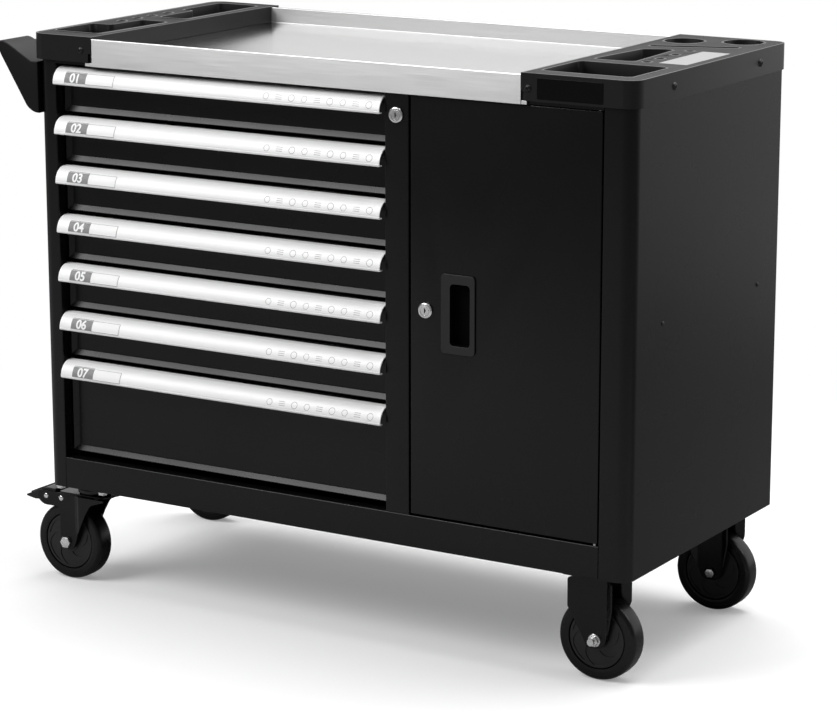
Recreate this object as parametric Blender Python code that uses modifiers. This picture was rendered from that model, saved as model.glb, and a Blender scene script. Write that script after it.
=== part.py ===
"""Tool cart: a folded steel cabinet with seven drawers and one cupboard, a steel worktop
between two moulded end caps, a push handle on the left and four castors.

The cart's own frame: metres, +X to the right along the front, +Y to the back, +Z up.
The origin is on the floor, under the middle of the cart's bounding box.
Sizes below are taken from the cabinet's left, front and bottom faces."""

import math

import bmesh
import bpy
from mathutils import Matrix, Vector

# Sheet, fits and fineness
sheet = 0.001
fit_gap = 0.0003
running_gap = 0.001
overrun = 0.004
corner_steps = 4
round_steps = 24
small_round_steps = 12

# Castor wheels: they carry the whole cart and set its height
wheel_radius = 0.0625
tyre_width = 0.034
tyre_shoulder = 0.007
hub_radius = 0.0445
hub_width = 0.030
hub_boss_radius = 0.014
hub_boss_width = 0.038
hub_web_width = 0.018
hub_rim = 0.006
axle_radius = 0.005
bolt_head_radius = 0.0095
bolt_head_height = 0.006
castor_height = 0.1637
castor_sheet = 0.003
castor_setback = 0.050
fork_inner_width = 0.041
leg_sheet = 0.0025

# Rigid castors, on the right
rigid_inset = 0.065
rigid_plate_length = 0.092
rigid_plate_width = 0.084
rigid_leg_left = 0.040
rigid_leg_right = 0.031
rigid_leg_knee = 0.050
leg_boss_radius = 0.015

# Swivel castors, on the left
swivel_inset = 0.052
swivel_trail = 0.042
swivel_plate_length = 0.100
swivel_plate_width = 0.084
race_radius = 0.028
race_height = 0.003
kingpin_radius = 0.006
kingpin_head_radius = 0.010
kingpin_head_height = 0.003
swivel_leg_half = 0.012
swivel_leg_waist = 0.024
swivel_leg_waist_height = 0.020
swivel_wing_waist = 0.046
swivel_wing_waist_height = 0.060
swivel_wing = 0.080
brake_arm_reach = 0.052
brake_arm_height = 0.022
brake_arm_drop = 0.011
pedal_pivot_reach = 0.039
pedal_pivot_drop = 0.0204
pedal_pivot_radius = 0.0025
pedal_sheet = 0.002
pedal_reach = 0.041
pedal_tail = 0.017
pedal_rise = 0.012
pedal_fall = 0.013
pedal_cheek = 0.008

# Cabinet shell
cabinet_width = 1.030
cabinet_depth = 0.484
cabinet_height = 0.6792
corner_radius = 0.020
left_post_width = 0.034
centre_post_width = 0.040
right_post_width = 0.047
post_return = 0.020
back_flange = 0.015
drawer_opening_width = 0.594
bottom_rail_height = 0.049
top_rail_height = 0.0052
pan_flange = 0.020
divider_inset = 0.005
shelf_height = 0.361
shelf_setback = 0.040
shelf_flange = 0.015

# Drawers and their slides
drawer_count = 7
drawer_pitch = 0.077
drawer_front_height = 0.070
drawer_top_gap = 0.0054
drawer_bottom_gap = 0.0096
drawer_side_gap = 0.003
drawer_front_setback = 0.019
drawer_front_thickness = 0.0105
drawer_recess_depth = 0.008
drawer_recess_side = 0.008
drawer_recess_bottom = 0.005
drawer_recess_top = 0.008
tray_length = 0.400
tray_side_space = 0.014
tray_top_gap = 0.008
tray_bottom_gap = 0.004
slide_drop = 0.036
slide_height = 0.028
slide_thickness = 0.0105
groove_height = 0.016
groove_depth = 0.007
slide_end_space = 0.030
upright_width = 0.020
upright_tail = 0.020
upright_overlap = 0.003

# Drawer pulls: satin sheet, bulging forward and returning under
pull_height = 0.026
pull_bulge = 0.011
pull_sheet = 0.0016
pull_top_setback = 0.012
pull_lip = 0.008

# Drawer lock and its bar
lock_head_radius = 0.0115
lock_head_height = 0.0045
lock_barrel_radius = 0.008
lock_cam_length = 0.020
lock_cam_width = 0.012
lock_cam_thickness = 0.002
lock_end = 0.0005
drawer_lock_drop = 0.0369
lock_bar_width = 0.016
lock_bar_thickness = 0.0025
lock_bar_end_space = 0.012
lock_tab_length = 0.007
lock_tab_height = 0.012

# Door
door_gap = 0.002
door_bottom_gap = 0.003
door_left_gap = 0.003
door_top_gap = 0.001
door_depth = 0.019
door_pan_depth = 0.008
door_lock_inset = 0.0262
door_lock_height = 0.3611
hinge_inset = 0.0055
hinge_setback = 0.004
hinge_pin_radius = 0.0025
hinge_pin_grip = 0.012
cup_width = 0.056
cup_height = 0.117
cup_inset = 0.053
cup_rise = 0.302
cup_flange = 0.003
cup_flange_thickness = 0.0025
cup_depth = 0.014
cup_wall = 0.0025
cup_pocket_width = 0.033
cup_pocket_height = 0.091
cup_pocket_inset = 0.015
cup_pocket_rise = 0.012
cup_corner = 0.006

# Worktop
board_thickness = 0.0122
top_front_overhang = 0.0065
top_hem = 0.003
top_front_rise = 0.0234
top_front_drop = 0.019
top_strip_height = 0.0052
top_rear_setback = 0.014
top_rear_rise = 0.025
top_rear_fold = 0.0048
top_tuck_left = 0.006
top_tuck_right = 0.007
strip_tuck_left = 0.013
strip_tuck_right = 0.009
board_tuck = 0.001

# End caps
cap_overhang = 0.007
cap_rise = 0.0398
cap_wall = 0.003
cap_corner = 0.022
left_cap_inner_front = 0.109
left_cap_inner_rear = 0.119
right_cap_reach = 0.175
pocket_corner = 0.010
tool_hole_radius = 0.006
slot_width = 0.012

# Push handle
handle_reach = 0.072
handle_height = 0.108
handle_rise = 0.0228
handle_depth = 0.067
handle_wall = 0.002
handle_end_radius = 0.0135
handle_foot_radius = 0.026
grip_radius = 0.011
grip_wall = 0.0015

# Places that follow from the sizes above
cabinet_bottom = castor_height + fit_gap
cabinet_top = cabinet_bottom + cabinet_height
rail_top = cabinet_bottom + bottom_rail_height
opening_top = cabinet_top - top_rail_height
panel_top = cabinet_top - sheet - fit_gap
inner_low = sheet + fit_gap
inner_right = cabinet_width - inner_low
inner_back = cabinet_depth - inner_low
centre_post_left = left_post_width + drawer_opening_width
centre_post_right = centre_post_left + centre_post_width
right_post_left = cabinet_width - right_post_width
divider_left = centre_post_right - divider_inset
floor_top = cabinet_top + fit_gap + board_thickness + fit_gap + sheet
floor_rest = floor_top + fit_gap
cap_top = cabinet_top + cap_rise
cap_bottom = cabinet_top + fit_gap
right_cap_inner = cabinet_width - right_cap_reach
handle_top = cabinet_top + handle_rise
handle_bottom = handle_top - handle_height
pull_front = -pull_bulge
cart_left = -handle_reach
cart_right = cabinet_width + cap_overhang
cart_back = cabinet_depth + cap_overhang

for leftover in list(bpy.data.objects):
    bpy.data.objects.remove(leftover, do_unlink=True)

parts = bpy.data.collections.new("tool_cart")
cutters = bpy.data.collections.new("cutters")
bpy.context.scene.collection.children.link(parts)
bpy.context.scene.collection.children.link(cutters)

cart = bpy.data.objects.new("cart_frame", None)
cart.location = (-(cart_left + cart_right) / 2, -(pull_front + cart_back) / 2, 0)
parts.objects.link(cart)


def finish(name, colour, metallic, roughness):
    """A Principled material; the colour is a grey level or an RGB triple."""
    material = bpy.data.materials.new(name)
    material.use_nodes = True
    shader = material.node_tree.nodes["Principled BSDF"]
    shader.inputs["Base Color"].default_value = (*colour, 1)
    shader.inputs["Metallic"].default_value = metallic
    shader.inputs["Roughness"].default_value = roughness
    return material


powder_coat = finish("black_powder_coat", (0.012, 0.012, 0.012), 0.0, 0.42)
brushed_steel = finish("brushed_stainless_steel", (0.58, 0.58, 0.58), 1.0, 0.3)
satin_aluminium = finish("satin_aluminium", (0.85, 0.85, 0.85), 1.0, 0.35)
black_plastic = finish("moulded_black_plastic", (0.018, 0.018, 0.018), 0.0, 0.5)
tyre_rubber = finish("black_rubber", (0.02, 0.02, 0.02), 0.0, 0.6)
hub_plastic = finish("black_hub_plastic", (0.025, 0.025, 0.025), 0.0, 0.45)
zinc = finish("zinc_plate", (0.62, 0.62, 0.62), 1.0, 0.25)
chrome = finish("chrome", (0.75, 0.75, 0.75), 1.0, 0.08)
board = finish("wood_board", (0.38, 0.27, 0.16), 0.0, 0.7)


def pivot(name, place, carrier=None):
    """An empty on a joint's axis, at a place in the cabinet's frame."""
    empty = bpy.data.objects.new(name, None)
    parent = carrier or cart
    empty.parent = parent
    empty.location = Vector(place) - place_of(parent)
    parts.objects.link(empty)
    return empty


def place_of(carrier):
    """Where an empty stands in the cabinet's frame."""
    place = Vector()
    while carrier is not cart:
        place += carrier.location
        carrier = carrier.parent
    return place


def add(name, mesh, place, material, carrier):
    """A named piece, or a cutter where it has no material."""
    piece = bpy.data.objects.new(name, mesh)
    parent = carrier or cart
    piece.parent = parent
    piece.location = Vector(place) - place_of(parent)
    if material:
        mesh.materials.append(material)
        parts.objects.link(piece)
    else:
        piece.hide_render = True
        piece.display_type = "WIRE"
        cutters.objects.link(piece)
    return piece


def box(name, low, high, material=None, carrier=None):
    """A block between two corners in the cabinet's frame."""
    low, high = Vector(low), Vector(high)
    shape = bmesh.new()
    bmesh.ops.create_cube(shape, size=1)
    bmesh.ops.scale(shape, vec=high - low, verts=shape.verts)
    mesh = bpy.data.meshes.new(name)
    shape.to_mesh(mesh)
    shape.free()
    return add(name, mesh, (low + high) / 2, material, carrier)


def rod(name, radius, start, end, material=None, carrier=None, steps=small_round_steps):
    """A round bar from one point to another."""
    start, end = Vector(start), Vector(end)
    run = end - start
    shape = bmesh.new()
    bmesh.ops.create_cone(shape, cap_ends=True, segments=steps, radius1=radius,
                          radius2=radius, depth=run.length)
    turn = run.to_track_quat("Z", "Y").to_matrix()
    bmesh.ops.rotate(shape, cent=(0, 0, 0), matrix=turn, verts=shape.verts)
    mesh = bpy.data.meshes.new(name)
    shape.to_mesh(mesh)
    shape.free()
    return add(name, mesh, (start + end) / 2, material, carrier)


# How an outline's own plane stands in the cabinet's frame, by the axis it is extruded along
plane_of_axis = {
    "X": Matrix(((0, 0, 1), (1, 0, 0), (0, 1, 0))),
    "Y": Matrix(((1, 0, 0), (0, 0, -1), (0, 1, 0))),
    "Z": Matrix.Identity(3),
}


def prism(name, outline, axis, start, end, material=None, carrier=None):
    """A flat outline given some thickness between two stations on an axis."""
    curve = bpy.data.curves.new(name, "CURVE")
    curve.dimensions = "2D"
    curve.fill_mode = "BOTH"
    curve.extrude = abs(end - start) / 2
    spline = curve.splines.new("POLY")
    spline.points.add(len(outline) - 1)
    middle = sum((Vector(point) for point in outline), Vector((0, 0))) / len(outline)
    for spline_point, point in zip(spline.points, outline):
        spline_point.co = (point[0] - middle.x, point[1] - middle.y, 0, 1)
    spline.use_cyclic_u = True
    flat = bpy.data.objects.new(name, curve)
    cutters.objects.link(flat)
    bpy.context.view_layer.update()
    ready = flat.evaluated_get(bpy.context.evaluated_depsgraph_get())
    mesh = bpy.data.meshes.new_from_object(ready)
    bpy.data.objects.remove(flat)
    shape = bmesh.new()
    shape.from_mesh(mesh)
    bmesh.ops.remove_doubles(shape, verts=shape.verts, dist=fit_gap / 30)
    bmesh.ops.rotate(shape, cent=(0, 0, 0), matrix=plane_of_axis[axis], verts=shape.verts)
    bmesh.ops.recalc_face_normals(shape, faces=shape.faces)
    shape.to_mesh(mesh)
    shape.free()
    across = plane_of_axis[axis] @ Vector((middle.x, middle.y, 0))
    along = Vector([float(letter == axis) for letter in "XYZ"]) * (start + end) / 2
    return add(name, mesh, across + along, material, carrier)


def bent_sheet(name, path, axis, start, end, thickness, material, carrier=None):
    """A sheet that follows an open path, its thickness to the path's left-hand side."""
    shape = bmesh.new()
    to_world = plane_of_axis[axis]
    along = Vector([float(letter == axis) for letter in "XYZ"])
    corners = [shape.verts.new(to_world @ Vector((*point, 0)) + along * start) for point in path]
    folds = [shape.edges.new(pair) for pair in zip(corners, corners[1:])]
    grown = bmesh.ops.extrude_edge_only(shape, edges=folds)["geom"]
    moved = [item for item in grown if isinstance(item, bmesh.types.BMVert)]
    bmesh.ops.translate(shape, vec=along * (end - start), verts=moved)
    shape.normal_update()
    first_fold = (corners[0].co + corners[1].co) / 2 + along * (end - start) / 2
    first = min(shape.faces, key=lambda face: (face.calc_center_median() - first_fold).length)
    run = Vector((path[1][0] - path[0][0], path[1][1] - path[0][1], 0))
    right_side = to_world @ Vector((run.y, -run.x, 0))
    if first.normal.dot(right_side) < 0:
        bmesh.ops.reverse_faces(shape, faces=shape.faces)
    mesh = bpy.data.meshes.new(name)
    shape.to_mesh(mesh)
    shape.free()
    piece = add(name, mesh, (0, 0, 0), material, carrier)
    thicken(piece, thickness)
    return piece


def thicken(piece, thickness):
    """Give an open surface its thickness, behind its faces."""
    wall = piece.modifiers.new("wall", "SOLIDIFY")
    wall.thickness = thickness
    wall.offset = -1
    wall.use_even_offset = True
    wall.use_quality_normals = True


def tray(name, low, high, thickness, open_side, material=None, carrier=None):
    """A box of sheet with one side open; open_side is an axis letter with its sign."""
    low, high = Vector(low), Vector(high)
    shape = bmesh.new()
    bmesh.ops.create_cube(shape, size=1)
    bmesh.ops.scale(shape, vec=high - low, verts=shape.verts)
    outward = Vector([float(letter == open_side[1]) for letter in "XYZ"])
    if open_side[0] == "-":
        outward.negate()
    shape.normal_update()
    mouth = [face for face in shape.faces if face.normal.dot(outward) > 0]
    mouth = [face for face in mouth if abs(face.normal.dot(outward)) == max(
        abs(other.normal.dot(outward)) for other in shape.faces)]
    bmesh.ops.delete(shape, geom=mouth, context="FACES")
    mesh = bpy.data.meshes.new(name)
    shape.to_mesh(mesh)
    shape.free()
    piece = add(name, mesh, (low + high) / 2, material, carrier)
    thicken(piece, thickness)
    return piece


def turned(name, profile, place, material=None, carrier=None, toward="Y", closed=True):
    """A turned piece: a profile of radius and height, spun about an axis."""
    mesh = bpy.data.meshes.new(name)
    shape = bmesh.new()
    corners = [shape.verts.new((radius, 0, height)) for radius, height in profile]
    pairs = list(zip(corners, corners[1:]))
    if closed:
        pairs.append((corners[-1], corners[0]))
    for pair in pairs:
        shape.edges.new(pair)
    shape.to_mesh(mesh)
    shape.free()
    piece = add(name, mesh, place, material, carrier)
    spin = piece.modifiers.new("turning", "SCREW")
    spin.steps = round_steps
    spin.render_steps = round_steps
    spin.use_merge_vertices = True
    spin.merge_threshold = fit_gap / 10
    if toward == "Y":
        piece.rotation_euler = (math.radians(90), 0, 0)
    return piece


def ring_profile(inner, outer, low, high):
    """The section of a plain ring, running down its outer side."""
    return [(inner, high), (outer, high), (outer, low), (inner, low)]


def combine(target, piece, operation):
    step = target.modifiers.new(operation.lower(), "BOOLEAN")
    step.operation = operation
    step.solver = "EXACT"
    step.object = piece


def cut(target, *tools):
    for tool in tools:
        combine(target, tool, "DIFFERENCE")


def join(target, *pieces):
    for piece in pieces:
        combine(target, piece, "UNION")


def settle(piece):
    """Replace a piece's mesh by what its modifiers make of it."""
    bpy.context.view_layer.update()
    ready = piece.evaluated_get(bpy.context.evaluated_depsgraph_get())
    mesh = bpy.data.meshes.new_from_object(ready)
    piece.modifiers.clear()
    piece.data = mesh


def rounded(corners, radii, steps=corner_steps):
    """An outline through the corners, each one replaced by an arc of its radius."""
    outline = []
    for index, corner in enumerate(corners):
        corner = Vector(corner)
        radius = radii[index]
        if radius == 0:
            outline.append(corner)
            continue
        before = (Vector(corners[index - 1]) - corner).normalized()
        after = (Vector(corners[(index + 1) % len(corners)]) - corner).normalized()
        half = before.angle(after) / 2
        centre = corner + (before + after).normalized() * radius / math.sin(half)
        first = corner + before * radius / math.tan(half) - centre
        last = corner + after * radius / math.tan(half) - centre
        start_angle = math.atan2(first.y, first.x)
        sweep = math.atan2(last.y, last.x) - start_angle
        sweep = (sweep + math.pi) % math.tau - math.pi
        for step in range(steps + 1):
            angle = start_angle + sweep * step / steps
            outline.append(centre + Vector((math.cos(angle), math.sin(angle))) * radius)
    return outline


def rounded_box(low, high, radius, steps=corner_steps):
    corners = [(low[0], low[1]), (high[0], low[1]), (high[0], high[1]), (low[0], high[1])]
    return rounded(corners, [radius] * 4, steps)


def corner_arc(centre, radius, first, last, steps=corner_steps):
    """Points of an arc in the plane, angles in degrees."""
    points = []
    for step in range(steps + 1):
        angle = math.radians(first + (last - first) * step / steps)
        points.append((centre[0] + radius * math.cos(angle), centre[1] + radius * math.sin(angle)))
    return points


def make_shell():
    """Side panels with their posts, base, back, rails, divider and top: folded sheet."""
    post_back = post_return
    rear = cabinet_depth
    left = [(back_flange, rear), (0, rear)]
    left += corner_arc((corner_radius, corner_radius), corner_radius, 180, 270)
    left += [(left_post_width, 0), (left_post_width, post_back)]
    bent_sheet("left_side_panel", left, "Z", cabinet_bottom, panel_top, sheet, powder_coat)
    right = [(right_post_left, post_back), (right_post_left, 0)]
    right += corner_arc((cabinet_width - corner_radius, corner_radius), corner_radius, 270, 360)
    right += [(cabinet_width, rear), (cabinet_width - back_flange, rear)]
    bent_sheet("right_side_panel", right, "Z", cabinet_bottom, panel_top, sheet, powder_coat)

    rail_left = left_post_width + fit_gap
    rail_right = right_post_left - fit_gap
    rail = [(post_return, rail_top), (0, rail_top), (0, cabinet_bottom),
            (post_return, cabinet_bottom)]
    bent_sheet("bottom_front_rail", rail, "X", rail_left, rail_right, sheet, powder_coat)

    pan_front = post_return + fit_gap
    pan_back = inner_back - sheet - fit_gap
    tray("base_pan", (inner_low, pan_front, cabinet_bottom),
         (inner_right, pan_back, cabinet_bottom + pan_flange), sheet, "+Z", powder_coat)

    box("back_panel", (inner_low, inner_back - sheet, cabinet_bottom),
        (inner_right, inner_back, panel_top), powder_coat)

    lid_outline = rounded([(0, 0), (cabinet_width, 0), (cabinet_width, rear), (0, rear)],
                          [corner_radius, corner_radius, 0, 0])
    lid = prism("top_panel", lid_outline, "Z", cabinet_top - sheet, cabinet_top, powder_coat)
    join(lid, box("top_rail", (rail_left, 0, opening_top),
                  (rail_right, sheet, cabinet_top - sheet / 2)))

    post_bottom = rail_top + fit_gap
    post_top = opening_top - fit_gap
    post = [(centre_post_left, post_return), (centre_post_left, 0), (centre_post_right, 0),
            (centre_post_right, post_return)]
    centre_post = bent_sheet("centre_post", post, "Z", post_bottom, post_top, sheet, powder_coat)
    lock_x, lock_z = drawer_lock_place()
    cut(centre_post, rod("centre_post_lock_hole", lock_barrel_radius + fit_gap,
                         (lock_x, -overrun, lock_z), (lock_x, overrun, lock_z),
                         steps=round_steps))

    divider_front = pan_front + sheet + fit_gap
    divider_bottom = cabinet_bottom + sheet + fit_gap
    box("divider_panel", (divider_left, divider_front, divider_bottom),
        (divider_left + sheet, pan_back - sheet - fit_gap, panel_top), powder_coat)

    shelf_top = cabinet_bottom + shelf_height
    tray("cupboard_shelf", (divider_left + sheet + fit_gap, shelf_setback, shelf_top - shelf_flange),
         (inner_right, pan_back, shelf_top), sheet, "-Z", powder_coat)


def drawer_lock_place():
    """The drawer lock stands in the middle of the centre post."""
    return (centre_post_left + centre_post_right) / 2, cabinet_top - drawer_lock_drop


def drawer_heights(index):
    """The bottom and top of a drawer's front, counted from the top drawer."""
    top = opening_top - drawer_top_gap - index * drawer_pitch
    if index == drawer_count - 1:
        return rail_top + drawer_bottom_gap, top
    return top - drawer_front_height, top


def make_drawer(index):
    """One drawer: a folded tray with its slide strips, its pressed front and its pull."""
    number = index + 1
    bottom, top = drawer_heights(index)
    left = left_post_width + drawer_side_gap
    right = centre_post_left - drawer_side_gap
    front = drawer_front_setback
    back = front + drawer_front_thickness
    panel = front + drawer_recess_depth

    shape = bmesh.new()
    bmesh.ops.create_cube(shape, size=1)
    size = Vector((right - left, back - front, top - bottom))
    middle = Vector(((left + right) / 2, (front + back) / 2, (bottom + top) / 2))
    bmesh.ops.scale(shape, vec=size, verts=shape.verts)
    shape.normal_update()
    face = min(shape.faces, key=lambda item: item.calc_center_median().y)
    bmesh.ops.inset_individual(shape, faces=[face], thickness=drawer_recess_bottom)
    for corner in face.verts:
        from_left = corner.co.x < 0
        from_bottom = corner.co.z < 0
        inner_x = left + drawer_recess_side if from_left else right - drawer_recess_side
        inner_z = bottom + drawer_recess_bottom if from_bottom else top - drawer_recess_top
        corner.co = Vector((inner_x, panel, inner_z)) - middle
    mesh = bpy.data.meshes.new(f"drawer_{number}")
    shape.to_mesh(mesh)
    shape.free()
    drawer = add(f"drawer_{number}", mesh, middle, powder_coat, None)

    tray_left = left_post_width + tray_side_space
    tray_right = centre_post_left - tray_side_space
    tray_front = (panel + back) / 2 - sheet / 2
    tray_back = tray_front + tray_length
    join(drawer, tray(f"drawer_{number}_tray", (tray_left, tray_front, bottom + tray_bottom_gap),
                      (tray_right, tray_back, top - tray_top_gap), sheet, "+Z"))
    strip_middle = top - slide_drop
    strip_half = groove_height / 2 - fit_gap
    reach = groove_depth - running_gap - fit_gap
    for side, wall, away in (("left", tray_left, -1), ("right", tray_right, 1)):
        inside = wall - away * sheet / 2
        outside = wall + away * (running_gap + reach)
        join(drawer, box(f"drawer_{number}_{side}_strip",
                         (min(inside, outside), back + sheet, strip_middle - strip_half),
                         (max(inside, outside), tray_back, strip_middle + strip_half)))

    section = pull_section(top)
    bent_sheet(f"drawer_pull_{number}", section, "X", left, right, pull_sheet, satin_aluminium)


def pull_section(top):
    """The pull's outer face from its seat on the drawer front, over the bulge, to its lip."""
    seat = drawer_front_setback - fit_gap
    fall = pull_top_setback + pull_bulge
    stretch = (pull_height - pull_sheet) / fall
    bulge = [(y, top - (top - z) * stretch) for y, z in
             corner_arc((pull_top_setback, top - fall), fall, 90, 180, steps=corner_steps * 2)]
    under = top - pull_height
    lip = [(pull_front + pull_sheet, under), (pull_front + pull_lip, under)]
    return [(seat, top)] + bulge + lip


def make_slides():
    """A rack each side: two uprights and a grooved rail for every drawer."""
    rail_front = drawer_front_setback + drawer_front_thickness + sheet
    rail_back = rail_front + tray_length + slide_end_space
    upright_bottom = cabinet_bottom + sheet + fit_gap
    sides = (
        ("left_slide_rack", inner_low + sheet + fit_gap, left_post_width + tray_side_space - running_gap, -1),
        ("right_slide_rack", divider_left - fit_gap,
         centre_post_left - tray_side_space + running_gap, 1),
    )
    for name, wall, mouth, away in sides:
        back_of_rail = mouth + away * slide_thickness
        low_x = min(wall, back_of_rail - away * upright_overlap)
        high_x = max(wall, back_of_rail - away * upright_overlap)
        front_y = rail_front + lock_bar_room()
        rack = box(name, (low_x, front_y, upright_bottom),
                   (high_x, front_y + upright_width, panel_top), brushed_steel)
        rear_y = rail_back - upright_tail
        join(rack, box(f"{name}_rear_upright", (low_x, rear_y - upright_width, upright_bottom),
                       (high_x, rear_y, panel_top)))
        for index in range(drawer_count):
            middle = drawer_heights(index)[1] - slide_drop
            rail = box(f"{name}_rail_{index + 1}",
                       (min(mouth, back_of_rail), rail_front, middle - slide_height / 2),
                       (max(mouth, back_of_rail), rail_back, middle + slide_height / 2))
            groove = mouth + away * groove_depth
            cut(rail, box(f"{name}_groove_{index + 1}",
                          (min(mouth - away * overrun, groove), rail_front - overrun,
                           middle - groove_height / 2),
                          (max(mouth - away * overrun, groove), rail_back + overrun,
                           middle + groove_height / 2)))
            join(rack, rail)


def lock_bar_room():
    """How far behind the rails' front ends the uprights stand, to leave the bar room."""
    return lock_bar_thickness + fit_gap


def make_lock(name, x, z, barrel_length, carrier):
    """A key lock: a turned head and barrel, and the cam that hangs from its rear end."""
    head = lock_head_radius
    barrel = lock_barrel_radius
    front = lock_head_height
    profile = [(0, front), (head, front), (head, fit_gap), (barrel, fit_gap),
               (barrel, -barrel_length), (0, -barrel_length)]
    lock = turned(name, profile, (x, 0, z), chrome, carrier, closed=False)
    half = lock_cam_width / 2
    cam = box(f"{name}_cam", (x - half, barrel_length - lock_cam_thickness, z - lock_cam_length),
              (x + half, barrel_length + lock_end, z + half), carrier=carrier)
    settle_turned(lock)
    join(lock, cam)
    return lock


def settle_turned(piece):
    """Keep a turned piece's spun surface as its mesh, unrotated."""
    settle(piece)
    piece.data.transform(piece.rotation_euler.to_matrix().to_4x4())
    piece.rotation_euler = (0, 0, 0)


def make_drawer_lock():
    """The lock in the centre post and the bar that it lifts behind the drawers' edges."""
    x, z = drawer_lock_place()
    axis = pivot("drawer_lock_axis", (x, 0, z))
    bar_front = drawer_front_setback + drawer_front_thickness + sheet
    make_lock("drawer_lock", x, z, bar_front - fit_gap - lock_end, axis)
    bar_left = centre_post_left + lock_tab_length
    bar_top = z - lock_barrel_radius
    bar_bottom = cabinet_bottom + bottom_rail_height + lock_bar_end_space
    bar = box("lock_bar", (bar_left, bar_front, bar_bottom),
              (bar_left + lock_bar_width, bar_front + lock_bar_thickness, bar_top), zinc)
    for index in range(drawer_count):
        bottom = drawer_heights(index)[0]
        if index == drawer_count - 1:
            bottom = drawer_heights(index)[1] - drawer_front_height
        tab_low = max(bottom, bar_bottom)
        join(bar, box(f"lock_tab_{index + 1}",
                      (bar_left - lock_tab_length, bar_front, tab_low),
                      (bar_left + lock_bar_width / 2, bar_front + lock_bar_thickness,
                       tab_low + lock_tab_height)))


def make_door():
    """The door: a folded skin, its inner pan, the recessed pull cup, the lock and pins."""
    left = centre_post_right + door_left_gap
    right = right_post_left - door_gap
    bottom = rail_top + door_bottom_gap
    top = opening_top - door_top_gap
    axis_x = right - hinge_inset
    axis = pivot("door_axis", (axis_x, hinge_setback, bottom))
    skin = tray("door_skin", (left, 0, bottom), (right, door_depth, top), sheet, "+Y",
                powder_coat, axis)
    inset = sheet + fit_gap
    pan = tray("door_inner_pan", (left + inset, door_depth - door_pan_depth, bottom + inset),
               (right - inset, door_depth, top - inset), sheet, "-Y", powder_coat, axis)

    lock_x = left + door_lock_inset
    lock_z = cabinet_bottom + door_lock_height
    lock_axis = pivot("door_lock_axis", (lock_x, 0, lock_z), axis)
    door_barrel = door_depth + fit_gap + lock_cam_thickness
    make_lock("door_lock", lock_x, lock_z, door_barrel, lock_axis)
    for target in (skin, pan):
        hole = rod(f"{target.name}_lock_hole", lock_barrel_radius + fit_gap,
                   (lock_x, -overrun, lock_z), (lock_x, door_depth + overrun, lock_z),
                   carrier=axis, steps=round_steps)
        cut(target, hole)

    cup_left = left + cup_inset
    cup_bottom = cabinet_bottom + cup_rise
    cup_right = cup_left + cup_width
    cup_top = cup_bottom + cup_height
    flange = rounded_box((cup_left, cup_bottom), (cup_right, cup_top), cup_corner)
    body_low = (cup_left + cup_flange, cup_bottom + cup_flange)
    body_high = (cup_right - cup_flange, cup_top - cup_flange)
    cup = prism("door_recess_cup", flange, "Y", -fit_gap - cup_flange_thickness, -fit_gap,
                black_plastic, axis)
    cup_back = min(cup_depth, door_depth - sheet - fit_gap)
    body = rounded_box(body_low, body_high, cup_corner - cup_flange)
    join(cup, prism("cup_body", body, "Y", -fit_gap - cup_flange_thickness / 2, cup_back,
                    carrier=axis))
    pocket_low = (cup_left + cup_pocket_inset, cup_bottom + cup_pocket_rise)
    pocket_high = (pocket_low[0] + cup_pocket_width, pocket_low[1] + cup_pocket_height)
    pocket = rounded_box(pocket_low, pocket_high, cup_corner)
    cut(cup, prism("cup_pocket", pocket, "Y", -cup_flange_thickness - overrun,
                   cup_back - cup_wall, carrier=axis))
    opening = rounded_box((body_low[0] - fit_gap, body_low[1] - fit_gap),
                          (body_high[0] + fit_gap, body_high[1] + fit_gap), cup_corner - cup_flange)
    cut(skin, prism("skin_cup_opening", opening, "Y", -overrun, overrun, carrier=axis))

    for label, low, high in (("top", top - hinge_pin_grip, cabinet_top - sheet - fit_gap),
                             ("bottom", rail_top + fit_gap, bottom + hinge_pin_grip)):
        rod(f"hinge_pin_{label}", hinge_pin_radius, (axis_x, hinge_setback, low),
            (axis_x, hinge_setback, high), zinc)
        cut(skin, rod(f"hinge_hole_{label}", hinge_pin_radius + fit_gap,
                      (axis_x, hinge_setback, low - overrun),
                      (axis_x, hinge_setback, high + overrun), carrier=axis))


def make_worktop():
    """The steel tray over its board: front fascia with a hem, floor and rear upstand."""
    front = -top_front_overhang
    fascia_left = left_cap_inner_front + fit_gap
    fascia_right = right_cap_inner - fit_gap
    fascia_bottom = floor_top - top_front_drop
    rear = cabinet_depth - top_rear_setback
    hem_back = front + top_hem
    strip_top = fascia_bottom + top_strip_height
    top = box("steel_worktop", (left_cap_inner_front - top_tuck_left, hem_back - sheet,
                                floor_top - sheet),
              (right_cap_inner + top_tuck_right, rear + top_rear_fold - sheet, floor_top),
              brushed_steel)
    join(top,
         box("worktop_fascia", (fascia_left, front, fascia_bottom),
             (fascia_right, hem_back, floor_top + top_front_rise)),
         box("worktop_strip", (left_cap_inner_front - strip_tuck_left, front, fascia_bottom),
             (right_cap_inner + strip_tuck_right, hem_back, strip_top)),
         box("worktop_upstand", (left_cap_inner_rear + fit_gap, rear, floor_top - sheet),
             (fascia_right, rear + top_rear_fold, floor_top + top_rear_rise)))
    board_low = cabinet_top + fit_gap
    box("worktop_board", (left_cap_inner_front - top_tuck_left + board_tuck, hem_back + fit_gap,
                          board_low),
        (right_cap_inner + top_tuck_right - board_tuck, rear + top_rear_fold,
         board_low + board_thickness), board)


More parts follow.
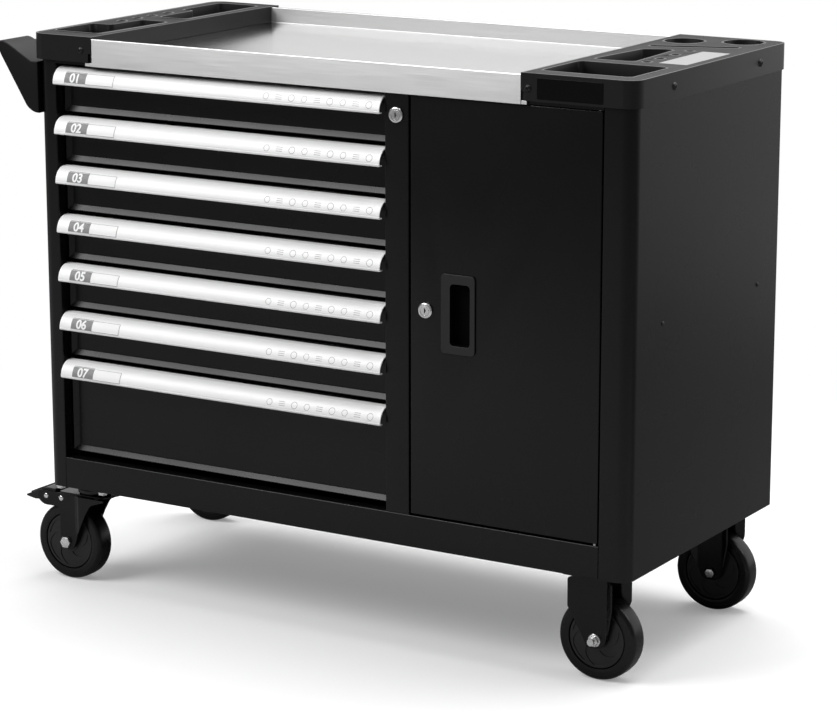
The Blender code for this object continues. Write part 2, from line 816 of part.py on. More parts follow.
# Pockets of the end caps, as shares of the cap's width and depth from its front left corner
left_pocket_shares = (
    ((0.10, 0.091), (0.82, 0.091), (0.88, 0.44), (0.45, 0.44), (0.42, 0.285), (0.10, 0.285)),
    ((0.44, 0.535), (0.88, 0.535), (0.88, 0.95), (0.22, 0.95), (0.22, 0.735), (0.44, 0.735)),
)
left_hole_shares = ((0.25, 0.396), (0.25, 0.478), (0.25, 0.558), (0.25, 0.648))
right_pocket_shares = (
    ((0.075, 0.069), (0.850, 0.069), (0.850, 0.300), (0.075, 0.300)),
    ((0.105, 0.358), (0.460, 0.366), (0.412, 0.667), (0.176, 0.625)),
)
right_hole_shares = ((0.555, 0.378), (0.555, 0.462), (0.555, 0.560), (0.555, 0.656))
right_slot_shares = ((0.13, 0.703), (0.81, 0.797))
right_bowl_shares = ((0.23, 0.86), (0.69, 0.92))
bowl_radius = 0.030


def at_share(shares, low, high):
    """A place on a cap from its shares of the cap's width and depth."""
    return (low[0] + shares[0] * (high[0] - low[0]), low[1] + shares[1] * (high[1] - low[1]))


def make_cap(name, outline, low, high, pockets, holes, slot, bowls, inner_edge, inward):
    """A moulded cap: a shell with hanging pockets, open underneath, its inner wall on the tray."""
    block = prism(name, outline, "Z", cap_bottom, cap_top, black_plastic)
    pocket_floor = cabinet_top + fit_gap + cap_wall
    for index, shares in enumerate(pockets):
        corners = [at_share(pair, low, high) for pair in shares]
        shape = rounded(corners, [pocket_corner] * len(corners))
        cut(block, prism(f"{name}_pocket_{index + 1}", shape, "Z", pocket_floor, cap_top + overrun))
    if bowls:
        centres = [Vector(at_share(pair, low, high)) for pair in bowls]
        for index, centre in enumerate(centres):
            circle = corner_arc(centre, bowl_radius, 0, 360 - 360 / round_steps,
                                steps=round_steps - 1)
            cut(block, prism(f"{name}_bowl_{index + 1}", circle, "Z", pocket_floor,
                             cap_top + overrun))
    step_x = inner_edge
    far = step_x + inward * cabinet_width
    cut(block, box(f"{name}_step", (min(step_x, far), -cabinet_depth, cap_bottom - overrun),
                   (max(step_x, far), cabinet_depth * 2, floor_rest)))
    settle(block)
    shape = bmesh.new()
    shape.from_mesh(block.data)
    shape.normal_update()
    middle_z = (cap_bottom + cap_top) / 2
    underside = []
    for face in shape.faces:
        centre = face.calc_center_median() + block.location
        low_face = centre.z < floor_rest + fit_gap and face.normal.z < -0.9
        step_face = abs(centre.x - step_x) < fit_gap and centre.z < floor_rest
        if low_face or (step_face and abs(face.normal.x) > 0.9):
            underside.append(face)
    bmesh.ops.delete(shape, geom=underside, context="FACES")
    shape.to_mesh(block.data)
    shape.free()
    thicken(block, cap_wall)
    tools = []
    for index, pair in enumerate(holes):
        x, y = at_share(pair, low, high)
        tools.append(rod(f"{name}_hole_{index + 1}", tool_hole_radius,
                         (x, y, cap_top - cap_wall - overrun), (x, y, cap_top + overrun)))
    if slot:
        start, end = [Vector(at_share(pair, low, high)) for pair in slot]
        side = (end - start).normalized().orthogonal() * slot_width / 2
        corners = [start - side, end - side, end + side, start + side]
        tools.append(prism(f"{name}_slot", rounded(corners, [slot_width / 2.1] * 4), "Z",
                           cap_top - cap_wall - overrun, cap_top + overrun))
    join(tools[0], *tools[1:])
    cut(block, tools[0])


def make_caps():
    low_y, high_y = -cap_overhang, cabinet_depth + cap_overhang
    left_corners = [(-cap_overhang, low_y), (left_cap_inner_front, low_y),
                    (left_cap_inner_rear, high_y), (-cap_overhang, high_y)]
    outline = rounded(left_corners, [cap_corner, 0, 0, cap_corner])
    make_cap("left_end_cap", outline, (-cap_overhang, low_y), (left_cap_inner_front, high_y),
             left_pocket_shares, left_hole_shares, None, None,
             left_cap_inner_front - top_tuck_left - fit_gap, 1)
    right = cabinet_width + cap_overhang
    right_corners = [(right_cap_inner, low_y), (right, low_y), (right, high_y),
                     (right_cap_inner, high_y)]
    outline = rounded(right_corners, [0, cap_corner, cap_corner, 0])
    make_cap("right_end_cap", outline, (right_cap_inner, low_y), (right, high_y),
             right_pocket_shares, right_hole_shares, right_slot_shares, right_bowl_shares,
             right_cap_inner + top_tuck_right + fit_gap, -1)


# The bracket's outline as shares of its reach and height; the third corner is the apex that
# the rounded end cuts off
handle_outline_shares = ((0, 0.755), (0.18, 0.759), (1.356, 1.202), (0.24, 0), (0, 0))
grip_centre_shares = (0.814, 0.855)


def make_handle():
    """The push handle: two hollow brackets on the left side and a round grip between them."""
    corners = []
    for out, up in handle_outline_shares:
        corners.append((-fit_gap - out * (handle_reach - fit_gap), handle_bottom + up * handle_height))
    outline = rounded(corners, [0, 0, handle_end_radius, handle_foot_radius, 0],
                      steps=corner_steps * 3)
    places = (("handle_front_bracket", 0, handle_depth, 1),
              ("handle_rear_bracket", cabinet_depth, cabinet_depth - handle_depth, -1))
    for name, face, mouth, inward in places:
        bracket = prism(name, outline, "Y", min(face, mouth), max(face, mouth), powder_coat)
        shape = bmesh.new()
        shape.from_mesh(bracket.data)
        shape.normal_update()
        open_side = [item for item in shape.faces if item.normal.y * inward > 0.9]
        bmesh.ops.delete(shape, geom=open_side, context="FACES")
        shape.to_mesh(bracket.data)
        shape.free()
        thicken(bracket, handle_wall)
    grip_x = -fit_gap - grip_centre_shares[0] * (handle_reach - fit_gap)
    grip_z = handle_bottom + grip_centre_shares[1] * handle_height
    end = handle_wall + fit_gap
    length = cabinet_depth - 2 * end
    turned("handle_grip", ring_profile(grip_radius - grip_wall, grip_radius, -length / 2,
                                       length / 2),
           (grip_x, cabinet_depth / 2, grip_z), black_plastic)


def make_wheel(label, x, y, carrier):
    """A wheel on its axle: a spoked plastic hub under a solid rubber tyre."""
    spin = pivot(f"{label}_wheel_axis", (x, y, wheel_radius), carrier)
    place = (x, y, wheel_radius)
    half = tyre_width / 2
    shoulder = tyre_shoulder
    tyre_inner = hub_radius + fit_gap
    tyre = [(tyre_inner, half), (wheel_radius - shoulder, half)]
    tyre += [(wheel_radius - shoulder + shoulder * math.sin(angle),
              half - shoulder + shoulder * math.cos(angle))
             for angle in (math.radians(30), math.radians(60), math.radians(90))]
    tyre += [(radius, -height) for radius, height in reversed(tyre)]
    turned(f"{label}_tyre", tyre, place, tyre_rubber, spin)
    bore = axle_radius + fit_gap
    rim_inner = hub_radius - hub_rim
    hub = [(bore, hub_boss_width / 2), (hub_boss_radius, hub_boss_width / 2),
           (hub_boss_radius, hub_web_width / 2), (rim_inner, hub_web_width / 2),
           (rim_inner, hub_width / 2), (hub_radius, hub_width / 2)]
    hub += [(radius, -height) for radius, height in reversed(hub)]
    turned(f"{label}_hub", hub, place, hub_plastic, spin)


def make_axle(label, x, y, carrier):
    """A bolt through both legs with its head in front and its nut behind."""
    outer = fork_inner_width / 2 + leg_sheet + fit_gap
    axle = rod(f"{label}_axle", axle_radius, (x, y - outer - bolt_head_height / 2, wheel_radius),
               (x, y + outer + bolt_head_height / 2, wheel_radius), zinc, carrier)
    for end, way in (("head", -1), ("nut", 1)):
        join(axle, rod(f"{label}_{end}", bolt_head_radius, (x, y + way * outer, wheel_radius),
                       (x, y + way * (outer + bolt_head_height), wheel_radius), carrier=carrier,
                       steps=6))


def add_legs(target, label, outline, y, carrier):
    """Join a fork's two legs to its top plate."""
    for side, way in (("front", -1), ("rear", 1)):
        inner = y + way * fork_inner_width / 2
        outer = inner + way * leg_sheet
        join(target, prism(f"{label}_{side}_leg", outline, "Y", min(inner, outer),
                           max(inner, outer), carrier=carrier))


def axle_hole(target, label, x, y, carrier):
    reach = fork_inner_width / 2 + leg_sheet + overrun
    cut(target, rod(f"{label}_axle_hole", axle_radius + fit_gap, (x, y - reach, wheel_radius),
                    (x, y + reach, wheel_radius), carrier=carrier))


def make_rigid_castor(label, y):
    """A fixed castor: plate and legs in one pressing, axle and wheel."""
    x = cabinet_width - rigid_inset
    plate_bottom = castor_height - castor_sheet
    half_length = rigid_plate_length / 2
    half_width = rigid_plate_width / 2
    fork = box(f"{label}_fork", (x - half_length, y - half_width, plate_bottom),
               (x + half_length, y + half_width, castor_height), powder_coat)
    top = castor_height - castor_sheet / 2
    boss = leg_boss_radius
    corners = [(x - rigid_leg_left, top), (x - rigid_leg_left, wheel_radius + rigid_leg_knee),
               (x - boss, wheel_radius - boss), (x + boss, wheel_radius - boss),
               (x + rigid_leg_right, wheel_radius + rigid_leg_knee), (x + rigid_leg_right, top)]
    outline = rounded(corners, [0, boss / 2, boss / 1.2, boss / 1.2, boss, 0])
    add_legs(fork, label, outline, y, None)
    axle_hole(fork, label, x, y, None)
    make_axle(label, x, y, None)
    make_wheel(label, x, y, None)


def make_swivel_castor(label, y):
    """A turning castor: plate with its kingpin, fork, axle, wheel and brake pedal."""
    pin_x = swivel_inset
    plate_bottom = castor_height - castor_sheet
    race_bottom = plate_bottom - race_height
    crown_top = race_bottom - fit_gap
    crown_bottom = crown_top - castor_sheet
    head_top = crown_bottom - fit_gap
    swivel = pivot(f"{label}_swivel_axis", (pin_x, y, 0))
    half_length = swivel_plate_length / 2
    half_width = swivel_plate_width / 2
    plate = box(f"{label}_castor_plate", (pin_x - half_length, y - half_width, plate_bottom),
                (pin_x + half_length, y + half_width, castor_height), powder_coat)
    profile = [(0, plate_bottom + castor_sheet / 2), (race_radius, plate_bottom + castor_sheet / 2),
               (race_radius, race_bottom), (kingpin_radius, race_bottom),
               (kingpin_radius, head_top), (kingpin_head_radius, head_top),
               (kingpin_head_radius, head_top - kingpin_head_height),
               (0, head_top - kingpin_head_height)]
    kingpin = turned(f"{label}_kingpin", profile, (pin_x, y, 0), toward="Z", closed=False)
    join(plate, kingpin)

    x = pin_x - swivel_trail
    outer = fork_inner_width / 2 + leg_sheet
    leg_left = x - swivel_leg_half
    wing_right = x + swivel_wing
    crown_outline = rounded_box((leg_left, y - outer), (wing_right, y + outer), pocket_corner)
    fork = prism(f"{label}_fork", crown_outline, "Z", crown_bottom, crown_top, powder_coat, swivel)
    cut(fork, rod(f"{label}_crown_hole", kingpin_radius + fit_gap, (pin_x, y, crown_bottom - overrun),
                  (pin_x, y, crown_top + overrun), carrier=swivel, steps=round_steps))
    leg_top = crown_bottom + castor_sheet / 2
    boss = swivel_leg_half
    corners = [(leg_left, leg_top), (leg_left, wheel_radius - boss),
               (x + boss, wheel_radius - boss),
               (x + swivel_leg_waist, wheel_radius + swivel_leg_waist_height),
               (x + swivel_wing_waist, wheel_radius + swivel_wing_waist_height),
               (wing_right - pocket_corner, leg_top)]
    outline = rounded(corners, [0, boss / 1.1, boss / 1.1, boss, boss, 0])
    add_legs(fork, label, outline, y, swivel)

    arm_top = crown_bottom - brake_arm_drop
    arm = rounded_box((x - brake_arm_reach, arm_top - brake_arm_height),
                      (x + swivel_leg_half / 2, arm_top), brake_arm_height / 2.2)
    for side, way in (("front", -1), ("rear", 1)):
        inner = y + way * fork_inner_width / 2
        arm_outer = inner + way * leg_sheet
        join(fork, prism(f"{label}_{side}_brake_arm", arm, "Y", min(inner, arm_outer),
                         max(inner, arm_outer), carrier=swivel))
    pivot_x = x - pedal_pivot_reach
    pivot_z = crown_bottom - pedal_pivot_drop
    inside = fork_inner_width / 2 + leg_sheet / 2
    join(fork, rod(f"{label}_pedal_pin", pedal_pivot_radius, (pivot_x, y - inside, pivot_z),
                   (pivot_x, y + inside, pivot_z), carrier=swivel))
    axle_hole(fork, label, x, y, swivel)
    make_axle(label, x, y, swivel)
    make_wheel(label, x, y, swivel)

    tread = pivot(f"{label}_pedal_axis", (pivot_x, y, pivot_z), swivel)
    tip_x = pivot_x - pedal_reach
    tail_x = pivot_x + pedal_tail
    crest = pivot_z + pedal_rise
    tip_z = pivot_z - pedal_fall
    path = [(tail_x, crest), (pivot_x, crest - pedal_sheet), (tip_x, tip_z)]
    half_pedal = fork_inner_width / 2 - fit_gap
    pedal = bent_sheet(f"{label}_brake_pedal", path, "Y", y - half_pedal, y + half_pedal,
                       pedal_sheet, zinc, tread)
    cheek = [(tail_x, crest - pedal_sheet / 2), (pivot_x, crest - pedal_sheet * 1.5),
             (tip_x + pedal_sheet, tip_z - pedal_sheet / 3), (pivot_x, pivot_z - pedal_cheek),
             (tail_x, pivot_z - pedal_cheek)]
    for side, way in (("front", -1), ("rear", 1)):
        cheek_outer = y + way * half_pedal
        cheek_inner = cheek_outer - way * pedal_sheet
        join(pedal, prism(f"{label}_{side}_cheek", cheek, "Y", min(cheek_inner, cheek_outer),
                          max(cheek_inner, cheek_outer), carrier=tread))
    cut(pedal, rod(f"{label}_pedal_hole", pedal_pivot_radius + fit_gap,
                   (pivot_x, y - outer, pivot_z), (pivot_x, y + outer, pivot_z), carrier=tread))


make_shell()
for drawer_index in range(drawer_count):
    make_drawer(drawer_index)
make_slides()
make_drawer_lock()
make_door()
make_worktop()
make_caps()
make_handle()
for castor_label, castor_y in (("front", castor_setback), ("rear", cabinet_depth - castor_setback)):
    make_rigid_castor(f"{castor_label}_right", castor_y)
    make_swivel_castor(f"{castor_label}_left", castor_y)
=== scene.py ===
import math

import bmesh
import bpy
from mathutils import Matrix, Vector


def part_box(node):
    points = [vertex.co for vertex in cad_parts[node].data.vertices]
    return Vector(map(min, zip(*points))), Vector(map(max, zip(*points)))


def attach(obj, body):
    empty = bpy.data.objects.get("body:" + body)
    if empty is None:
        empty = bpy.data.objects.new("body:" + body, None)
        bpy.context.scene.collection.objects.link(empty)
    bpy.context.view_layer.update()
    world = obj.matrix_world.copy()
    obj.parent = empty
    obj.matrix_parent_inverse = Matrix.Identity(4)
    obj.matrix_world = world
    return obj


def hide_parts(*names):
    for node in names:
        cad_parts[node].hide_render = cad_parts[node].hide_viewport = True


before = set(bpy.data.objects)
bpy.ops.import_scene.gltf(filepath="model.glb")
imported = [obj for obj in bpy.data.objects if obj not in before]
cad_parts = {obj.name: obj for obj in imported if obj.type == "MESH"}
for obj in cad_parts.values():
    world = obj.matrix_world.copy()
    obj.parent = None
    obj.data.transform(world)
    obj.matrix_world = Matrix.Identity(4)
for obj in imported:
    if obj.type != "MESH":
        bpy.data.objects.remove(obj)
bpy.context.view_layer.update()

mm = 0.001
scene = bpy.context.scene
scene.view_settings.view_transform = "Standard"

# Camera: the photograph's viewpoint, found by fitting the cabinet's edges and the castor rings.
# It stands in front of the cart's right half, 1.46 m up, and looks down at it.
camera_lens = 129.8
camera_place = (2.408, -3.895, 1.4575)
camera_turn = 31.11
camera_fall = 13.32

camera_data = bpy.data.cameras.new("camera")
camera_data.lens = camera_lens
camera_data.sensor_width = 36
camera_data.sensor_fit = "HORIZONTAL"
camera = bpy.data.objects.new("camera", camera_data)
camera.location = camera_place
camera.rotation_euler = (math.radians(90 - camera_fall), 0, math.radians(camera_turn))
scene.collection.objects.link(camera)
scene.camera = camera


# Studio: a white sweep. The backdrop behind the cart is white, the room before it is dim, so
# that the black front stays dark and the steel shows both. One softbox hangs over the cart and
# one stands before its left end; a weak fill lights the right side.
def linear(hex_colour):
    """An sRGB hex colour as the linear RGBA that shaders take."""
    channels = [int(hex_colour[at:at + 2], 16) / 255 for at in (1, 3, 5)]
    return [c / 12.92 if c <= 0.04045 else ((c + 0.055) / 1.055) ** 2.4 for c in channels] + [1]


def add_node(tree, kind, settings=(), inputs=()):
    """A node with its settings; an input takes a value or another node's output."""
    made = tree.nodes.new(kind)
    for name, value in dict(settings).items():
        setattr(made, name, value)
    for name, value in dict(inputs).items():
        if isinstance(value, bpy.types.NodeSocket):
            tree.links.new(value, made.inputs[name])
        else:
            made.inputs[name].default_value = value
    return made


# Directions on the backdrop run from -1 to 1; places on the floor are in metres.
room_grey = "#797979"
backdrop_start = -0.1
backdrop_end = 0.55
backdrop_mirrored = 0.95
backdrop_scattered = 0.5
floor_size = 16
floor_own_light = 0.23
floor_paint = "#e2e2e2"
floor_bounce = "#a8a8a8"
floor_behind = "#767676"
bounce_behind = 0.3
bounce_ahead = -0.4
sweep_start = 1.5
sweep_end = 3.1
sweep_glow = 0.34
white_from = 0.6
white_by = 1.7

world = bpy.data.worlds.new("white_sweep")
world.use_nodes = True
scene.world = world
tree = world.node_tree
tree.nodes.clear()
rays = add_node(tree, "ShaderNodeLightPath")
direction = add_node(tree, "ShaderNodeTexCoord")
split = add_node(tree, "ShaderNodeSeparateXYZ", inputs={0: direction.outputs["Generated"]})
behind = add_node(tree, "ShaderNodeMapRange", {"interpolation_type": "SMOOTHSTEP"},
                  {"Value": split.outputs["Y"], "From Min": backdrop_start,
                   "From Max": backdrop_end, "To Max": backdrop_mirrored})
scattered = add_node(tree, "ShaderNodeMath", {"operation": "MULTIPLY"},
                     {0: rays.outputs["Is Diffuse Ray"], 1: backdrop_scattered})
mirrored = add_node(tree, "ShaderNodeMath", {"operation": "MAXIMUM"},
                    {0: rays.outputs["Is Glossy Ray"], 1: scattered.outputs[0]})
shown = add_node(tree, "ShaderNodeMath", {"operation": "MULTIPLY"},
                 {0: mirrored.outputs[0], 1: behind.outputs["Result"]})
seen = add_node(tree, "ShaderNodeMath", {"operation": "MAXIMUM"},
                {0: rays.outputs["Is Camera Ray"], 1: shown.outputs[0]})
sky = add_node(tree, "ShaderNodeMix", {"data_type": "RGBA"},
               {0: seen.outputs[0], 6: linear(room_grey), 7: linear("#ffffff")})
glow = add_node(tree, "ShaderNodeBackground", inputs={"Color": sky.outputs[2], "Strength": 1})
add_node(tree, "ShaderNodeOutputWorld", inputs={"Surface": glow.outputs[0]})

floor_mesh = bpy.data.meshes.new("floor")
shape = bmesh.new()
bmesh.ops.create_grid(shape, x_segments=1, y_segments=1, size=floor_size / 2)
shape.to_mesh(floor_mesh)
shape.free()
floor = bpy.data.objects.new("floor", floor_mesh)
scene.collection.objects.link(floor)

# Painted floor: it takes the cart's shadow, and away from the cart it fades to the white sweep.
sweep = bpy.data.materials.new("matt_white_floor_paint")
sweep.use_nodes = True
tree = sweep.node_tree
tree.nodes.clear()
rays = add_node(tree, "ShaderNodeLightPath")
paint = add_node(tree, "ShaderNodeBsdfDiffuse", inputs={"Color": linear(floor_paint)})
lit = add_node(tree, "ShaderNodeEmission",
               inputs={"Color": linear("#ffffff"), "Strength": floor_own_light})
both = add_node(tree, "ShaderNodeAddShader", inputs={0: paint.outputs[0], 1: lit.outputs[0]})
white = add_node(tree, "ShaderNodeEmission", inputs={"Color": linear("#ffffff"), "Strength": 1})
where = add_node(tree, "ShaderNodeTexCoord")
reach = add_node(tree, "ShaderNodeVectorMath", {"operation": "LENGTH"},
                 {0: where.outputs["Object"]})
faded = add_node(tree, "ShaderNodeMapRange", {"interpolation_type": "SMOOTHSTEP"},
                 {"Value": reach.outputs["Value"], "From Min": white_from, "From Max": white_by})
sheet_look = add_node(tree, "ShaderNodeMixShader",
                      inputs={0: faded.outputs["Result"], 1: both.outputs[0],
                              2: white.outputs[0]})
shown = add_node(tree, "ShaderNodeMath", {"operation": "MAXIMUM"},
                 {0: rays.outputs["Is Camera Ray"], 1: rays.outputs["Is Transmission Ray"]})
split = add_node(tree, "ShaderNodeSeparateXYZ", inputs={0: where.outputs["Object"]})
ahead = add_node(tree, "ShaderNodeMapRange", {"interpolation_type": "SMOOTHSTEP"},
                 {"Value": split.outputs["Y"], "From Min": bounce_behind,
                  "From Max": bounce_ahead})
dimmer = add_node(tree, "ShaderNodeMix", {"data_type": "RGBA"},
                  {0: ahead.outputs["Result"], 6: linear(floor_behind), 7: linear(floor_bounce)})
bounce = add_node(tree, "ShaderNodeBsdfDiffuse", inputs={"Color": dimmer.outputs[2]})
# Far behind the cart the sweep rises and is lit from its foot.
rising = add_node(tree, "ShaderNodeMapRange", {"interpolation_type": "SMOOTHSTEP"},
                  {"Value": split.outputs["Y"], "From Min": sweep_start, "From Max": sweep_end,
                   "To Max": sweep_glow})
foot = add_node(tree, "ShaderNodeEmission", inputs={"Color": linear("#ffffff"),
                                                    "Strength": rising.outputs["Result"]})
lit_bounce = add_node(tree, "ShaderNodeAddShader", inputs={0: bounce.outputs[0],
                                                           1: foot.outputs[0]})
look = add_node(tree, "ShaderNodeMixShader",
                inputs={0: shown.outputs[0], 1: lit_bounce.outputs[0],
                        2: sheet_look.outputs[0]})
add_node(tree, "ShaderNodeOutputMaterial", inputs={"Surface": look.outputs[0]})
floor_mesh.materials.append(sweep)

# Each lamp: its name, place, aim, width and depth in metres, and its power in watts.
lamps = (
    ("softbox_above", (0.25, 0.5, 2.6), (0.0, 0.0, 0.5), 2.8, 2.2, 90),
    ("softbox_front_left", (-2.1, -2.6, 3.3), (0.0, 0.0, 0.6), 2.4, 2.3, 125),
    ("fill_from_right", (2.6, 0.9, 2.1), (0.4, 0.0, 0.7), 1.6, 1.0, 12),
)
for name, place, aim, width, depth, power in lamps:
    lamp_data = bpy.data.lights.new(name, "AREA")
    lamp_data.shape = "RECTANGLE"
    lamp_data.size = width
    lamp_data.size_y = depth
    lamp_data.energy = power
    lamp = bpy.data.objects.new(name, lamp_data)
    lamp.location = place
    lamp.rotation_euler = (Vector(aim) - Vector(place)).to_track_quat("-Z", "Y").to_euler()
    scene.collection.objects.link(lamp)


# Cabinet: folded steel sheet, black powder coat, semi-gloss with a fine orange peel. Both side
# panels turn the front corner in one wide fold and end in a post; rail and centre post are
# folded channels, spot-welded behind them.
home = Vector((*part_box("left_side_panel")[0].xy, 0))
sheet = 1.0 * mm
gap = 0.3 * mm
weld = 0.001 * mm
snap = 0.01 * mm
noise_low, noise_high = 0.3, 0.7
cart = bpy.data.collections.new("tool_cart_looks")
scene.collection.children.link(cart)

# How an outline's own x, y and depth lie once it is pressed out or folded along an axis.
ALONG = {
    "X": Matrix(((0, 0, 1), (1, 0, 0), (0, 1, 0))),
    "Y": Matrix(((1, 0, 0), (0, 0, -1), (0, 1, 0))),
    "Z": Matrix.Identity(3),
}


def spot(node):
    """A solid's lowest and highest corners, from the cabinet's left front corner."""
    low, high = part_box(node)
    return low - home, high - home


def new_finish(name, colour, metallic, roughness):
    """A material with its shader; patterns are added where it is made."""
    made = bpy.data.materials.new(name)
    made.use_nodes = True
    shader = made.node_tree.nodes["Principled BSDF"]
    shader.inputs["Base Color"].default_value = linear(colour)
    shader.inputs["Metallic"].default_value = metallic
    shader.inputs["Roughness"].default_value = roughness
    return made, made.node_tree, shader


def grain(tree, size, stretch=(1, 1, 1), detail=2):
    """Noise with features of a real size, in metres, on the piece's own coordinates."""
    where = add_node(tree, "ShaderNodeTexCoord")
    scale = [1 / (size * s) for s in stretch]
    spread = add_node(tree, "ShaderNodeMapping", inputs={"Vector": where.outputs["Object"],
                                                        "Scale": scale})
    return add_node(tree, "ShaderNodeTexNoise",
                    inputs={"Vector": spread.outputs[0], "Scale": 1, "Detail": detail})


def relief(tree, shader, pattern, depth):
    """A pattern as bump of a real depth, in metres, on a shader."""
    bump = add_node(tree, "ShaderNodeBump", inputs={"Height": pattern, "Distance": depth})
    tree.links.new(bump.outputs[0], shader.inputs["Normal"])


def fine_tooth(tree, shader, size, depth):
    """The fine tooth that every moulded, printed or cast surface has, size and depth in metres."""
    relief(tree, shader, grain(tree, size).outputs["Fac"], depth)


def shine(tree, shader, pattern, low, high):
    """A roughness that wanders between two values with a pattern."""
    spread = add_node(tree, "ShaderNodeMapRange", inputs={
        "Value": pattern, "From Min": noise_low, "From Max": noise_high, "To Min": low,
        "To Max": high})
    tree.links.new(spread.outputs["Result"], shader.inputs["Roughness"])


# Black powder coat: semi-gloss, so that the large faces mirror the floor softly. Real orange
# peel is about 1 mm across; drawn at 3 mm, where it shows. Hands and cloths leave wide clouds.
peel_size = 3 * mm
peel_depth = 0.02 * mm
cloud_size = 120 * mm
powder_coat, tree, shader = new_finish("black_powder_coated_steel", "#090909", 0, 0.27)
shader.inputs["IOR"].default_value = 1.36
fine_tooth(tree, shader, peel_size, peel_depth)
shine(tree, shader, grain(tree, cloud_size).outputs["Fac"], 0.25, 0.30)


def dress(name, shape, material, body, replaced=(), wall=0, edge=0, edge_steps=2,
          angle=30):
    """A finished piece from its mesh in the cabinet's own frame: material, wall, edges and
    carrier.
    """
    shift(shape, home)
    mesh = bpy.data.meshes.new(name)
    shape.to_mesh(mesh)
    shape.free()
    mesh.shade_smooth()
    mesh.set_sharp_from_angle(angle=math.radians(angle))
    for each in material if isinstance(material, (list, tuple)) else [material]:
        mesh.materials.append(each)
    made = bpy.data.objects.new(name, mesh)
    cart.objects.link(made)
    if wall:
        thickness = made.modifiers.new("wall", "SOLIDIFY")
        thickness.thickness = wall
        thickness.offset = -1
        thickness.use_even_offset = True
        thickness.use_quality_normals = True
    if edge:
        rounding = made.modifiers.new("edges", "BEVEL")
        rounding.width = edge
        rounding.segments = edge_steps
        rounding.limit_method = "ANGLE"
        rounding.angle_limit = math.radians(angle)
        rounding.harden_normals = True
    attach(made, body)
    if replaced:
        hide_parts(*replaced)


def shift(shape, by):
    """Move a mesh."""
    bmesh.ops.translate(shape, vec=by, verts=shape.verts)


def swing(shape, angle, axis):
    """Turn a mesh about an axis through the origin."""
    bmesh.ops.rotate(shape, cent=(0, 0, 0), matrix=Matrix.Rotation(angle, 3, axis),
                     verts=shape.verts)


def round_corner(shape, point, radius, steps):
    """Turn a flat outline's corner into an arc of a radius."""
    one, two = [edge.other_vert(point).co - point.co for edge in point.link_edges]
    run = radius / math.tan(one.angle(two) / 2)
    bmesh.ops.bevel(shape, geom=[point], offset=run, offset_type="OFFSET", affect="VERTICES",
                    segments=steps, profile=0.5, material=-1)


def outline_face(corners, radii=(), steps=6):
    """A flat face from its corners, each turned into an arc of its radius."""
    shape = bmesh.new()
    points = [shape.verts.new((*corner, 0)) for corner in corners]
    shape.faces.new(points)
    for point, radius in zip(points, radii):
        if radius:
            round_corner(shape, point, radius, steps)
    return shape


def plate(corners, axis, start, end, radii=(), steps=6):
    """An outline pressed out to a solid between two stations on an axis."""
    shape = outline_face(corners, radii, steps)
    grown = bmesh.ops.extrude_face_region(shape, geom=shape.faces[:], use_keep_orig=True)
    moved = [item for item in grown["geom"] if isinstance(item, bmesh.types.BMVert)]
    bmesh.ops.translate(shape, vec=(0, 0, end - start), verts=moved)
    shift(shape, (0, 0, start))
    bmesh.ops.rotate(shape, cent=(0, 0, 0), matrix=ALONG[axis], verts=shape.verts)
    if axis == "Y":
        shift(shape, (0, start + end, 0))
    bmesh.ops.recalc_face_normals(shape, faces=shape.faces)
    return shape


def corners_of(low, high):
    """The four corners of a rectangle, from its lowest and its highest corner."""
    return [(low[0], low[1]), (high[0], low[1]), (high[0], high[1]), (low[0], high[1])]


def fold(path, axis, start, end, bends, steps=8):
    """A sheet folded along an open path: its faces look to the path's right-hand side."""
    shape = bmesh.new()
    line = [shape.verts.new((*point, start)) for point in path]
    runs = [shape.edges.new(pair) for pair in zip(line, line[1:])]
    grown = bmesh.ops.extrude_edge_only(shape, edges=runs)["geom"]
    moved = [item for item in grown if isinstance(item, bmesh.types.BMVert)]
    bmesh.ops.translate(shape, vec=(0, 0, end - start), verts=moved)
    shape.normal_update()
    middle = (Vector((*path[0], start)) + Vector((*path[1], end))) / 2
    first = min(shape.faces, key=lambda face: (face.calc_center_median() - middle).length)
    run = Vector(path[1]) - Vector(path[0])
    if first.normal.dot(Vector((run.y, -run.x, 0))) < 0:
        bmesh.ops.reverse_faces(shape, faces=shape.faces)
    for point, radius in zip(path[1:-1], bends):
        if not radius:
            continue
        place = Vector((*point, (start + end) / 2))
        crease = min(shape.edges, key=lambda edge: (
            (edge.verts[0].co + edge.verts[1].co) / 2 - place).length)
        one, two = crease.link_faces
        opening = math.pi - one.normal.angle(two.normal)
        bmesh.ops.bevel(shape, geom=[crease], offset=radius / math.tan(opening / 2),
                        offset_type="OFFSET", affect="EDGES", segments=steps, profile=0.5,
                        material=-1)
    bmesh.ops.rotate(shape, cent=(0, 0, 0), matrix=ALONG[axis], verts=shape.verts)
    return shape


cut_edge = 0.3 * mm
bend = 1.6 * mm
corner_bend = 20 * mm
corner_steps = 14
side_bends = (bend, corner_bend, bend)
post_return = 20 * mm
back_flange = 15 * mm
low, high = spot("left_side_panel")
left_post = high.x
rear = high.y
path = [(back_flange, rear), (0, rear), (0, 0), (left_post, 0), (left_post, post_return)]
dress("left_side", fold(path, "Z", low.z, high.z, side_bends, corner_steps), powder_coat,
      "cabinet", ["left_side_panel"], wall=sheet, edge=cut_edge)
low, high = spot("right_side_panel")
right_post, cabinet_width = low.x, high.x
path = [(right_post, post_return), (right_post, 0), (cabinet_width, 0), (cabinet_width, rear),
        (cabinet_width - back_flange, rear)]
dress("right_side", fold(path, "Z", low.z, high.z, side_bends, corner_steps), powder_coat,
      "cabinet", ["right_side_panel"], wall=sheet, edge=cut_edge)

